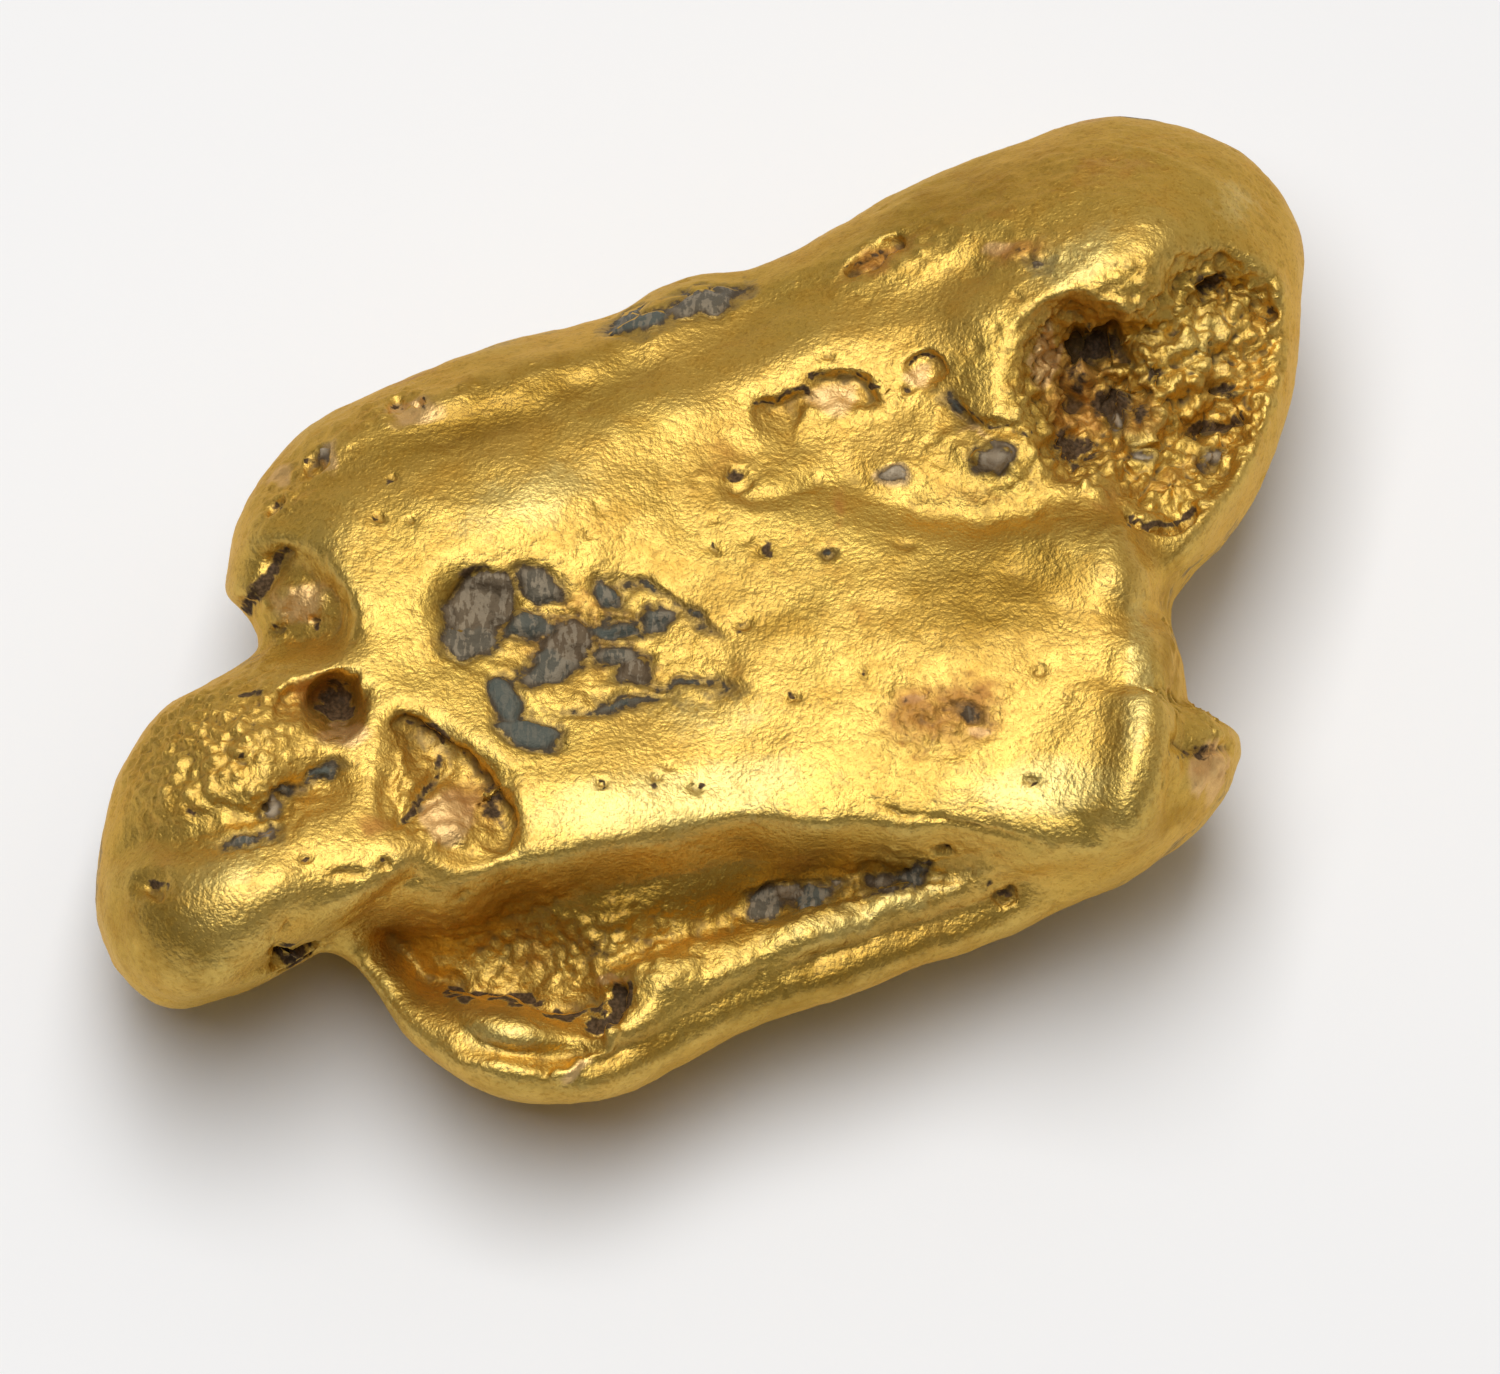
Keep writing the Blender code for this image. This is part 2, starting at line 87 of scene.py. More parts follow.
# Radius of the rolled edge, on the face and on the back, at angles round the outline from the right
FACE_ROLL = [(0, 2.4), (25, 4.2), (60, 4.6), (100, 3.4), (150, 3.2), (180, 3.4), (205, 4.6), (235, 4.6),
             (265, 5.0), (300, 4.6), (335, 3.2)]
BACK_ROLL = [(0, 6.0), (60, 7.5), (120, 6.0), (180, 6.0), (240, 6.5), (300, 6.5)]

# Borders and cracks that more than one table follows
HOLLOW_BORDER = [(8.7, 7.2), (10.4, 7.3), (11.5, 7.8), (12.9, 8.6), (14.2, 7.6), (14.0, 5.6), (13.3, 4.3),
                 (12.0, 2.8), (10.4, 3.3), (9.0, 3.8), (8.5, 5.5)]
SLAB_PATCH = [(4.2, -2.4), (5.2, -1.9), (6.3, -1.7), (7.4, -2.0), (7.3, -2.9), (6.0, -3.4), (4.7, -3.2)]
TEAR_HEART = [(-1.95, -9.3), (-2.05, -9.8), (-2.6, -10.2)]
HOLLOW_SLIT = [(10.7, 2.35), (11.2, 2.25), (11.8, 2.3), (12.2, 2.5)]
HOLLOW_CRACK = [(12.3, 4.6), (12.9, 4.75), (13.5, 4.95)]
NOTCH_CRACK = [(-11.35, 0.1), (-10.8, 0.8), (-10.3, 1.5)]
CORNER_CRACK = [(-6.25, -3.7), (-6.7, -4.2), (-7.0, -4.8), (-7.35, -5.1)]
FAR_EDGE_CRACK = [(3.75, 8.65), (4.3, 8.95), (5.0, 9.35)]

# Terraces of the face, each an area pressed down: depth, half width of its wall, then its border
FACE_TERRACES = [
    # the front terrace, below the brow that crosses the face
    (1.5, 0.75, [(-8.1, -7.9), (-6.2, -7.3), (-3.5, -6.4), (-1.2, -5.9), (1.5, -5.6), (4.5, -5.75),
                 (7.0, -5.95), (9.3, -6.3), (10.0, -7.6), (5.0, -10.5), (-4.0, -14.5), (-8.6, -12.5),
                 (-9.0, -9.3)]),
    # the crystal hollow of the right-hand lobe
    (1.35, 0.4, [(8.5, 7.3), (9.4, 7.8), (10.5, 7.3), (11.3, 7.6), (11.7, 8.7), (12.9, 8.9), (13.9, 8.4),
                 (14.4, 7.6), (14.2, 5.6), (13.5, 4.2), (12.6, 3.1), (11.9, 2.5), (11.0, 2.7), (10.0, 3.4),
                 (9.0, 3.6), (8.4, 4.6), (8.25, 6.1)]),
    # the recess at the left-hand notch
    (1.2, 0.35, [(-12.2, 0.6), (-11.2, 1.5), (-10.0, 1.4), (-8.9, 0.7), (-8.7, -0.2), (-9.3, -0.9),
                 (-10.6, -0.9), (-12.2, -0.7)]),
    # the three-cornered pit
    (0.6, 0.3, [(-7.5, -2.5), (-6.6, -2.8), (-5.4, -3.6), (-4.6, -4.6), (-4.5, -5.6), (-5.6, -6.1),
                  (-7.2, -5.6), (-7.9, -4.9), (-7.7, -3.7)]),
    # the grained pit in the middle of the face, and the stained patch on the slab
    (0.25, 0.4, [(-6.6, -0.3), (-6.3, 0.8), (-4.6, 1.4), (-2.4, 1.0), (-0.9, 0.2), (0.6, -0.9), (0.9, -1.8),
                 (-1.0, -2.4), (-3.0, -2.2), (-5.0, -1.6)]),
    (0.2, 0.25, SLAB_PATCH),
]

# Ridges (positive) and grooves (negative) of the face: lift, half width, then the line they follow
FACE_RIDGES = [
    # the brow that crosses the left-hand lobe, the slope that rolls down to the front, and the front ledge
    (0.35, 1.1, [(-14.0, -7.2), (-12.0, -7.0), (-10.0, -6.5), (-6.3, -5.8)]),
    (-1.1, 2.5, [(-8.5, -9.6), (-5.0, -8.8), (-1.5, -7.9), (2.0, -7.4), (6.0, -7.5), (10.0, -7.8)]),
    (-0.5, 0.8, [(-1.0, -8.0), (2.0, -7.1), (5.0, -6.6), (7.0, -6.5)]),
    (0.9, 0.8, [(-1.8, -10.0), (0.0, -9.1), (2.0, -8.35), (5.0, -7.3), (8.0, -6.5), (11.0, -5.8)]),
    # the rolled far edge and the crease behind it
    (0.4, 0.9, [(-11.3, 0.9), (-10.9, 2.6), (-9.5, 4.2), (-7.4, 5.3), (-4.6, 6.2), (-1.6, 7.2)]),
    (-0.5, 0.8, [(-10.3, 2.4), (-9.3, 3.5), (-7.2, 4.35), (-4.8, 5.0), (-2.0, 6.0), (0.0, 6.8),
                   (2.5, 7.75), (5.2, 8.2), (6.8, 8.6)]),
    # the bright shoulder beside the crystal hollow, and the hollow's outer rim
    (0.6, 1.1, [(7.4, 4.6), (7.5, 6.9), (9.0, 8.3), (10.6, 8.9), (11.3, 9.6)]),
    (0.6, 0.55, [(14.9, 8.2), (14.75, 6.0), (14.1, 4.0), (13.0, 2.3), (11.5, 1.0)]),
    # the edge of the slab that overlaps the right-hand lobe
    (-0.4, 0.7, [(3.6, 3.3), (5.0, 2.75), (6.5, 2.4), (8.5, 2.75), (9.9, 3.05), (10.7, 2.5), (11.3, 1.3)]),
    (0.65, 0.9, [(9.2, 2.0), (10.1, 0.9), (10.7, -1.0), (10.9, -3.2), (10.6, -4.8)]),
    # the step across the left-hand lobe
    (-0.55, 0.5, [(-14.2, -5.7), (-12.5, -5.4), (-10.9, -4.9), (-9.2, -4.2)]),
    (0.35, 0.9, [(-14.0, -4.0), (-12.6, -3.2), (-10.8, -3.2)]),
    # the torn fold of the lower lobe
    (-0.4, 0.3, [(-6.6, -9.0), (-5.4, -9.5), (-4.4, -9.6), (-3.2, -9.8), (-2.0, -9.4)]),
    (0.4, 0.5, [(-6.7, -9.7), (-5.4, -10.1), (-4.2, -10.1)]),
    (-0.25, 0.35, [(-5.6, -10.8), (-4.2, -11.0), (-3.0, -10.9)]),
]

# Swellings (positive) and broad dips (negative) of the face: lift, centre, half sizes, turn in degrees
FACE_SWELLS = [
    (1.3, (10.6, 9.2), (4.6, 3.0), 20),
    (0.5, (-4.4, 2.3), (3.4, 1.6), 20),
    (-0.5, (-2.2, -1.0), (4.2, 2.4), -15),
    (-0.5, (2.8, 4.6), (4.0, 1.3), 10),
    (0.65, (6.9, -0.6), (4.4, 2.6), 8),
    (-1.3, (-9.4, -9.0), (1.5, 1.6), 0),
    (-2.0, (-4.6, -8.9), (3.4, 1.8), -8),
    (0.9, (-4.8, -10.6), (2.2, 1.2), -5),
    (-0.6, (12.6, 0.6), (1.3, 1.5), -40),
]

# Round pits of the face: depth, centre, half sizes, turn in degrees
FACE_PITS = [
    # the holes of the crystal hollow
    (0.7, (9.9, 5.5), (1.0, 1.8), -12),
    (0.6, (9.6, 6.6), (0.5, 0.5), 0),
    (0.7, (10.6, 5.3), (0.55, 0.7), 20),
    (0.6, (9.1, 4.1), (0.55, 0.5), 0),
    (0.6, (12.6, 4.7), (0.75, 0.4), 25),
    (0.6, (12.8, 8.0), (0.7, 0.4), 15),
    # the round hole of the left-hand lobe, and the dark heart of the notch below it
    (1.7, (-8.95, -2.25), (0.7, 0.72), 0),
    (0.6, (-9.9, -2.15), (0.6, 0.45), 0),
    (0.8, (-10.0, -8.55), (0.6, 0.4), 10),
    # the deep corner of the grained pit, and the gap behind the hook
    (0.45, (-5.4, 0.1), (0.8, 0.8), 30),
    (0.7, (12.1, -3.1), (0.5, 0.8), 5),
    (0.3, (5.6, 6.0), (0.5, 0.4), 0),
    (0.3, (4.4, 8.95), (0.8, 0.3), 32),
    # small pits of the far edge and of the left-hand lobe
    (0.4, (-7.35, 5.15), (0.42, 0.32), 20),
    (0.35, (-9.6, 3.85), (0.34, 0.3), 40),
    (0.35, (-10.6, 2.75), (0.32, 0.25), 40),
    (0.35, (-13.4, -6.7), (0.4, 0.32), 0),
]
PIT_WALL = 0.32

# Rubble of the face: height and size of its lumps, then the border of the area
FACE_RUBBLE = [(0.75, 1.0, HOLLOW_BORDER)]

# Lumps, dips, creases and pits of the back, in the same form as those of the face
BACK_SWELLS = [
    (0.7, (9.5, 7.5), (3.6, 3.0), 20),
    (-1.3, (2.5, 6.2), (3.2, 1.9), 25),
    (-0.4, (-6.2, 3.6), (3.0, 2.2), 20),
    (-1.4, (-10.2, -2.2), (1.8, 2.0), 0),
    (0.5, (-12.2, -6.2), (2.4, 2.0), 0),
    (-1.2, (-8.3, -6.9), (2.2, 1.5), -30),
    (0.4, (-3.6, -8.2), (3.0, 2.0), 0),
    (-1.0, (6.5, -4.8), (3.0, 1.4), 15),
    (-1.3, (9.8, 0.8), (2.2, 1.8), 30),
    (-0.8, (13.0, 4.0), (1.4, 2.0), 0),
]
BACK_RIDGES = [
    (-0.7, 0.5, [(-9.0, 5.0), (-7.2, 3.4), (-5.5, 3.0), (-3.0, 3.6), (-1.0, 5.2)]),
    (-0.6, 0.45, [(4.0, 3.0), (6.5, 3.6), (8.6, 5.4), (9.0, 8.0)]),
    (0.5, 0.8, [(-9.8, 2.8), (-7.0, 1.6), (-4.0, 1.2)]),
    (-0.5, 0.4, [(-13.5, -5.0), (-11.6, -5.4), (-10.0, -4.2)]),
    (-0.6, 0.45, [(-4.5, -9.8), (-1.5, -8.0), (2.0, -7.2), (4.0, -6.4)]),
]
BACK_PITS = [
    (0.6, (5.0, 8.6), (1.2, 0.6), 20),
    (0.5, (-8.6, 3.9), (1.0, 0.6), 30),
    (0.6, (11.6, 9.3), (1.1, 0.6), 0),
    (0.5, (-12.6, -4.4), (0.6, 0.8), 0),
    (0.5, (7.6, -5.9), (1.1, 0.5), 20),
    (0.5, (12.3, 1.9), (0.9, 0.6), 0),
]

# Waviness of the drawn lines, and the river-worn unevenness of the whole skin
WAVER = 0.22
WAVER_STEP = 1.5
WORN_FACE = 0.09
WORN_BACK = 0.3
WORN_LUMP = 2.6
BOSS = 0.75
BOSS_STEP = 6.5
SKIN_SEED = Vector((3.7, 11.3, 5.9))
DRIFT_SHIFTS = [Vector((9.3, -1.5, -8.0)), Vector((0.0, 0.0, 0.0)), Vector((5.2, 17.1, 0.2))]

# Fine relief, pressed along the skin's own direction: lift, half width, then the line
FINE_RIDGES = [
    # the crest of the front ledge, and the slope between it and the edge
    (0.3, 0.45, [(-1.9, -9.1), (0.0, -8.5), (2.0, -7.9), (4.5, -7.15), (7.0, -6.6)]),
    (0.14, 0.5, [(-1.2, -10.2), (1.4, -9.3), (3.75, -8.45), (5.5, -7.9)]),
    # the right shoulder and the crack of the hook beside it
    (0.32, 0.55, [(10.2, 1.7), (10.75, 0.4), (11.0, -1.2), (11.05, -2.6), (10.9, -3.9), (10.5, -5.0)]),
    (-0.25, 0.16, [(11.6, -3.2), (12.2, -3.4), (13.0, -3.25)]),
    # the soft groove and the ripples of the slab
    (-0.14, 0.22, [(0.8, 3.1), (1.65, 2.9), (2.9, 3.3)]),
    (-0.1, 0.3, [(5.3, 2.6), (6.8, 2.4), (8.2, 2.5)]),
    # the dark heart of the lower lobe's tear, and the folds below it
    (-0.5, 0.2, TEAR_HEART),
    (0.2, 0.12, [(-3.5, -11.35), (-2.9, -11.15), (-2.3, -10.75), (-2.1, -10.2)]),
    (0.1, 0.2, [(-5.9, -11.05), (-4.9, -11.2), (-4.0, -11.3)]),
    # the dark slit and the crack of the crystal hollow, and the crack at the left-hand notch
    (-0.5, 0.13, HOLLOW_SLIT),
    (-0.4, 0.13, HOLLOW_CRACK),
    (-0.2, 0.25, NOTCH_CRACK),
    # the rough line across the three-cornered pit
    (-0.18, 0.16, CORNER_CRACK),
    # the crack of the far edge, and long scratches on the brow
    (-0.3, 0.12, FAR_EDGE_CRACK),
    (-0.07, 0.06, [(4.7, -4.75), (6.3, -5.1), (8.1, -5.65)]),
    (-0.05, 0.05, [(4.2, -4.55), (5.5, -4.95), (6.9, -5.25)]),
]

# Scarps, where the skin drops on the right-hand side of a line and comes back: drop, reach, then the line
FINE_SCARPS = [
    # the crescents near the right-hand lobe
    (0.32, 0.8, [(1.3, 5.3), (1.9, 5.45), (2.5, 5.7), (2.9, 5.45)]),
    (0.38, 1.0, [(2.6, 5.95), (3.25, 6.1), (3.95, 6.05), (4.35, 5.65), (4.5, 5.2)]),
    (0.3, 0.6, [(5.05, 6.2), (5.5, 6.5), (5.9, 6.4), (6.15, 6.0)]),
    (0.28, 0.7, [(6.1, 5.35), (6.75, 5.05), (7.4, 4.8), (8.3, 4.55)]),
    # the three-cornered pit
    (0.3, 1.2, [(-7.6, -2.6), (-7.1, -2.5), (-6.5, -2.85), (-5.6, -3.6), (-4.8, -4.5), (-4.5, -5.2),
                (-4.8, -5.9)]),
    # the torn flap of the lower lobe
    (0.3, 0.6, [(-2.2, -9.6), (-3.1, -9.75), (-3.85, -9.8), (-4.6, -9.45), (-5.6, -9.45), (-6.4, -9.2)]),
]
SCARP_WALL = 0.09

# Floors raised again after the main form is made: minus the lift, half width of the wall, then the border
FINE_TERRACES = [
    (-0.13, 0.3, SLAB_PATCH),
    (-0.17, 0.4, [(-5.6, 0.5), (-4.6, 1.4), (-2.4, 1.0), (-0.9, 0.2), (0.6, -0.9), (0.9, -1.8),
                  (-1.0, -2.4), (-3.0, -2.2), (-5.0, -1.6)]),
]

# Small lumps (positive) and dips (negative): lift, centre, half sizes, turn in degrees
FINE_SWELLS = [
    (0.3, (10.1, 3.35), (0.6, 0.42), 15),
    (0.35, (11.7, 2.95), (0.62, 0.38), 5),
    (0.25, (7.25, 3.9), (0.5, 0.45), 0),
    (0.18, (4.8, 3.4), (0.5, 0.35), 10),
    (0.32, (-5.2, -10.15), (1.4, 0.5), -6),
    (0.25, (5.6, 6.0), (0.5, 0.4), 0),
    (0.34, (9.5, -3.3), (1.1, 1.6), 0),
    (0.34, (11.1, -1.1), (0.75, 0.75), 0),
    (0.3, (-7.35, -4.2), (0.45, 1.2), 5),
    (0.5, (12.3, -3.35), (0.5, 0.75), 5),
    (0.12, (-4.6, -9.7), (0.5, 0.25), -20),
    (0.18, (10.4, 6.9), (0.5, 0.4), 0),
    (0.3, (11.2, 4.6), (0.8, 0.7), 0),
    (0.2, (-6.2, -5.0), (0.55, 0.6), 30),
    (0.16, (-5.9, 5.6), (0.9, 0.35), 25),
    (-0.2, (-10.3, 3.5), (0.7, 0.4), 40),
    (-0.15, (2.2, -7.1), (1.2, 0.45), 15),
    (-0.15, (4.8, -6.6), (0.8, 0.35), 8),
]

# Small dark pits: depth, centre, half sizes, turn in degrees
FINE_PITS = [
    (0.55, (9.95, 6.75), (0.7, 0.5), 5),
    (0.45, (12.7, 8.3), (0.25, 0.2), 0),
    (0.35, (14.35, 7.5), (0.2, 0.16), 0),
    (0.4, (13.1, 5.65), (0.28, 0.2), 20),
    (0.45, (11.4, 5.95), (0.28, 0.24), 0),
    (0.2, (-7.5, 5.18), (0.24, 0.2), 0),
    (0.25, (-6.95, 5.3), (0.18, 0.14), 0),
    (0.2, (-9.7, 3.8), (0.2, 0.18), 0),
    (0.2, (-10.6, 2.68), (0.28, 0.12), 35),
    (0.14, (-10.5, -0.4), (0.2, 0.14), 20),
    (0.14, (-9.6, -0.25), (0.16, 0.12), 0),
    (0.14, (-11.1, -2.1), (0.3, 0.13), 25),
    (0.14, (-10.55, -4.8), (0.14, 0.14), 0),
    (0.14, (-13.3, -6.75), (0.26, 0.16), -40),
    (0.1, (-9.6, -6.05), (0.14, 0.1), 0),
    (0.1, (-8.6, -6.4), (0.36, 0.09), 5),
    (0.1, (-7.7, -6.05), (0.14, 0.1), 0),
    (0.45, (-10.2, -8.5), (0.28, 0.32), 20),
    (0.4, (-9.6, -8.2), (0.3, 0.14), 15),
    (0.1, (-11.2, -3.6), (0.14, 0.1), 0),
    (0.1, (-12.4, -4.9), (0.16, 0.11), 0),
    (0.1, (-7.95, 2.4), (0.14, 0.1), 30),
    (0.09, (-7.2, 2.38), (0.11, 0.1), 0),
    (0.09, (-7.65, 3.35), (0.15, 0.09), 20),
    (0.08, (3.2, 6.45), (0.12, 0.1), 0),
    (0.09, (5.2, 5.65), (0.13, 0.1), 0),
    (0.14, (0.95, 3.4), (0.28, 0.24), 30),
    (0.08, (3.2, 1.5), (0.12, 0.1), 0),
    (0.08, (1.65, 1.6), (0.18, 0.12), 20),
    (0.09, (1.1, -0.25), (0.2, 0.14), 0),
    (0.08, (0.4, 1.6), (0.11, 0.1), 0),
    (0.09, (-1.1, -4.1), (0.12, 0.1), 0),
    (0.08, (-2.4, -4.15), (0.13, 0.1), 0),
    (0.08, (-0.75, -3.7), (0.1, 0.08), 0),
    (0.08, (-0.05, -4.25), (0.14, 0.12), 0),
    (0.08, (2.4, -2.1), (0.11, 0.1), 0),
    (0.08, (4.1, -1.5), (0.1, 0.1), 0),
    (0.08, (9.0, -2.0), (0.1, 0.09), 0),
    (0.25, (6.1, -5.8), (0.22, 0.12), 10),
    (0.2, (7.5, -6.9), (0.32, 0.24), 0),
    (0.14, (1.5, -6.9), (0.4, 0.12), 10),
    (0.1, (8.2, -4.1), (0.14, 0.11), 0),
]

# Mineral grains set in the gold: tone (0 slate, 0.5 umber, 1 chalk), centre, half sizes, turn in degrees
GRAINS = [
    (0.5, (-5.35, 0.2), (0.95, 0.68), 25),
    (0.4, (-5.65, -0.6), (0.75, 0.42), 5),
    (0.3, (-4.15, -0.33), (0.6, 0.33), 0),
    (0.4, (-3.95, 0.72), (0.6, 0.36), -35),
    (0.3, (-2.25, 0.5), (0.48, 0.33), -45),
    (0.2, (-2.1, -0.4), (0.68, 0.18), 5),
    (0.3, (-1.1, -0.12), (0.38, 0.24), 15),
    (0.35, (-2.1, -1.1), (0.55, 0.3), 0),
    (0.55, (-3.2, -0.7), (0.6, 0.5), 10),
    (0.35, (-3.65, -1.3), (0.8, 0.4), 25),
    (0.55, (-1.65, -1.45), (0.55, 0.32), 30),
    (0.0, (-4.1, -2.9), (0.85, 0.42), -12),
    (0.0, (-4.8, -2.1), (0.38, 0.62), 20),
    (0.0, (-1.3, 0.6), (0.5, 0.08), -25),
    (0.0, (-0.2, -0.05), (0.42, 0.08), -30),
    (0.1, (-1.9, -2.3), (0.9, 0.12), 5),
    (0.1, (-0.2, -1.8), (0.7, 0.1), 0),
    # the streak along the step of the left-hand lobe
    (0.15, (-9.3, -3.95), (0.5, 0.17), 22),
    (0.3, (-10.15, -4.3), (0.35, 0.15), 30),
    (0.9, (-10.5, -4.75), (0.2, 0.14), 40),
    (0.3, (-11.2, -5.6), (0.4, 0.16), 5),
    (0.85, (-10.6, -5.45), (0.3, 0.14), 12),
    # the front valley
    (0.4, (1.55, -7.2), (0.45, 0.3), 20),
    (0.85, (2.2, -6.95), (0.4, 0.2), 10),
    (0.3, (2.75, -7.0), (0.45, 0.22), 25),
    (0.9, (3.3, -6.7), (0.2, 0.13), 0),
    (0.5, (4.5, -6.7), (0.4, 0.22), 10),
    (0.35, (5.2, -6.5), (0.4, 0.16), 15),
    (0.85, (5.6, -6.25), (0.16, 0.1), 0),
    # the ledges and the slab
    (0.86, (7.3, 3.85), (0.44, 0.42), 0),
    (0.0, (6.3, 5.2), (0.26, 0.1), -50),
    (1.0, (4.8, 3.4), (0.3, 0.2), 0),
    (0.6, (6.6, -2.45), (0.25, 0.08), -15),
    (0.1, (3.2, 1.5), (0.12, 0.1), 0),
    # pale bits in the crystal hollow
    (0.9, (10.45, 4.8), (0.16, 0.2), 20),
    (0.9, (11.0, 4.05), (0.14, 0.2), 60),
    (0.9, (12.7, 3.9), (0.24, 0.14), 20),
    # the far edge
    (0.25, (-1.5, 7.35), (0.8, 0.3), 15),
    (0.4, (0.1, 7.85), (1.0, 0.36), 18),
    (0.6, (8.5, 8.75), (0.2, 0.1), 10),
    (0.9, (-9.35, 3.95), (0.16, 0.24), -20),
]

# Soil left in hollows: strength, centre, half sizes, turn in degrees
DIRT = [
    (0.9, (9.95, 6.75), (0.8, 0.55), 5),
    (0.6, (9.4, 5.9), (0.4, 1.1), 0),
    (0.85, (10.4, 5.3), (0.6, 0.7), -20),
    (0.8, (9.3, 4.2), (0.9, 0.55), 15),
    (0.6, (11.0, 5.0), (0.4, 0.5), 20),
    (0.7, (12.5, 4.7), (0.9, 0.26), 20),
    (0.75, (12.7, 8.3), (0.5, 0.3), 0),
    (0.7, (13.2, 5.6), (0.35, 0.3), 0),
    (0.6, (9.3, 3.75), (0.5, 0.3), 0),
    (1.0, (-8.95, -2.2), (0.6, 0.62), 0),
    (0.9, (-10.0, -8.4), (0.55, 0.45), 15),
    (0.7, (-5.6, 0.95), (0.7, 0.2), 15),
    (0.7, (7.5, -6.9), (0.34, 0.26), 0),
    (0.6, (12.2, -3.35), (0.75, 0.17), 5),
    (0.45, (12.0, -2.6), (0.2, 0.4), 10),
    (0.42, (-3.9, -0.2), (2.5, 1.2), -12),
    (0.5, (4.9, -2.2), (0.4, 0.12), 20),
    (0.5, (5.7, -1.9), (0.6, 0.1), 5),
    (0.6, (1.5, -6.95), (0.45, 0.14), 10),
    (0.45, (-10.6, -4.3), (0.5, 0.2), 40),
    (0.5, (-10.5, -5.2), (0.3, 0.14), 40),
    (0.6, (-5.1, -4.6), (0.4, 0.9), 30),
    (0.4, (-2.5, -8.4), (1.8, 0.7), 10),
    (0.5, (8.0, 8.95), (0.6, 0.2), 15),
    (0.45, (2.2, 8.3), (0.8, 0.2), 25),
]

# Dark lines: strength, half width, then the line
CRACKS = [
    (0.75, 0.1, [(1.4, 5.35), (1.9, 5.45), (2.5, 5.65), (2.75, 5.5)]),
    (0.8, 0.1, [(2.7, 6.0), (3.25, 6.05), (3.95, 6.0), (4.3, 5.7)]),
    (0.75, 0.1, [(5.15, 6.3), (5.5, 6.5), (5.85, 6.4)]),
    (0.6, 0.1, [(6.2, 5.3), (6.75, 5.05), (7.4, 4.8), (8.25, 4.6)]),
    (0.9, 0.13, [(-6.2, -9.25), (-5.5, -9.45), (-4.6, -9.45), (-3.95, -9.6)]),
    (0.75, 0.09, [(-3.95, -9.6), (-3.85, -9.9), (-3.1, -9.8), (-2.3, -9.7)]),
    (1.0, 0.2, TEAR_HEART),
    (0.9, 0.12, HOLLOW_SLIT),
    (0.8, 0.12, HOLLOW_CRACK),
    (0.75, 0.26, NOTCH_CRACK),
    (0.65, 0.09, [(-7.45, -2.65), (-7.2, -2.55), (-6.6, -2.85), (-5.95, -3.3), (-5.5, -3.8)]),
    (0.65, 0.2, CORNER_CRACK),
    (0.7, 0.1, FAR_EDGE_CRACK),
]

# Orange-brown iron stains: strength, centre, half sizes, turn in degrees
STAINS = [
    (0.85, (9.6, 5.4), (1.1, 1.8), 0),
    (0.6, (10.8, 5.0), (1.1, 1.1), 0),
    (0.45, (12.3, 3.6), (1.6, 0.8), 20),
    (0.9, (-9.5, -1.95), (0.9, 0.5), 30),
    (0.7, (-8.0, -5.2), (0.5, 0.35), 20),
    (0.55, (-3.2, -0.4), (3.2, 1.5), -12),
    (0.95, (6.0, -2.5), (1.8, 1.0), 5),
    (0.8, (8.0, 9.0), (0.9, 0.4), 10),
    (0.6, (-5.6, -4.6), (1.2, 1.3), 20),
    (0.5, (10.5, 11.2), (1.6, 0.6), 10),
    (0.75, (3.4, 2.6), (0.25, 0.9), -15),
    (0.75, (2.6, 1.8), (0.5, 0.14), -40),
    (0.7, (1.9, 1.0), (0.35, 0.14), -50),
    (0.4, (3.0, -6.0), (1.8, 0.6), 8),
    (0.4, (-4.0, -8.2), (3.0, 1.0), 0),
    (0.45, (12.5, -3.6), (0.8, 1.2), 5),
    (0.85, (4.5, 8.95), (1.2, 0.45), 25),
    (0.6, (-10.8, 0.6), (0.9, 0.5), 45),
    (0.45, (6.8, 2.9), (1.0, 0.5), 0),
    (0.45, (1.0, -1.3), (0.6, 0.3), 20),
    (0.4, (0.6, 3.9), (1.4, 0.8), 30),
    (0.45, (10.2, 2.9), (1.6, 0.5), 0),
    (0.4, (-13.4, -6.0), (1.2, 1.2), 0),
    (0.4, (7.0, 10.2), (1.6, 1.0), 30),
    (0.35, (3.5, 0.5), (2.0, 1.0), -30),
]

# Painted reflections on smooth facets, in a lighter pinkish gold: strength, centre, half sizes, turn in
# degrees
PAINTED_REFLECTIONS = [
    (1.0, (-6.15, -5.05), (0.75, 0.75), 30),
    (0.65, (-9.9, 0.25), (1.1, 0.75), 15),
    (0.9, (-7.2, 5.05), (0.85, 0.45), 10),
    (0.8, (-9.2, 3.9), (0.4, 0.5), -20),
    (0.7, (-10.4, 3.5), (0.6, 0.3), 45),
    (1.0, (8.62, 6.5), (0.36, 0.95), 0),
    (0.7, (3.4, 5.4), (0.9, 0.5), 0),
    (0.7, (5.5, 6.0), (0.5, 0.4), 0),
    (0.8, (4.8, 3.4), (0.6, 0.4), 0),
    (0.7, (-8.8, -3.0), (0.8, 0.4), 0),
    (0.8, (-3.0, -11.2), (0.7, 0.2), 30),
    (0.8, (-2.2, -9.1), (0.4, 0.2), 20),
    (0.6, (6.9, 4.6), (0.6, 0.3), -20),
    (1.0, (12.6, -3.9), (0.55, 0.8), -10),
    (0.7, (7.5, 9.15), (0.5, 0.28), 10),
    (0.7, (5.3, -2.1), (0.6, 0.2), 15),
    (0.7, (6.9, -2.9), (0.4, 0.25), -20),
]
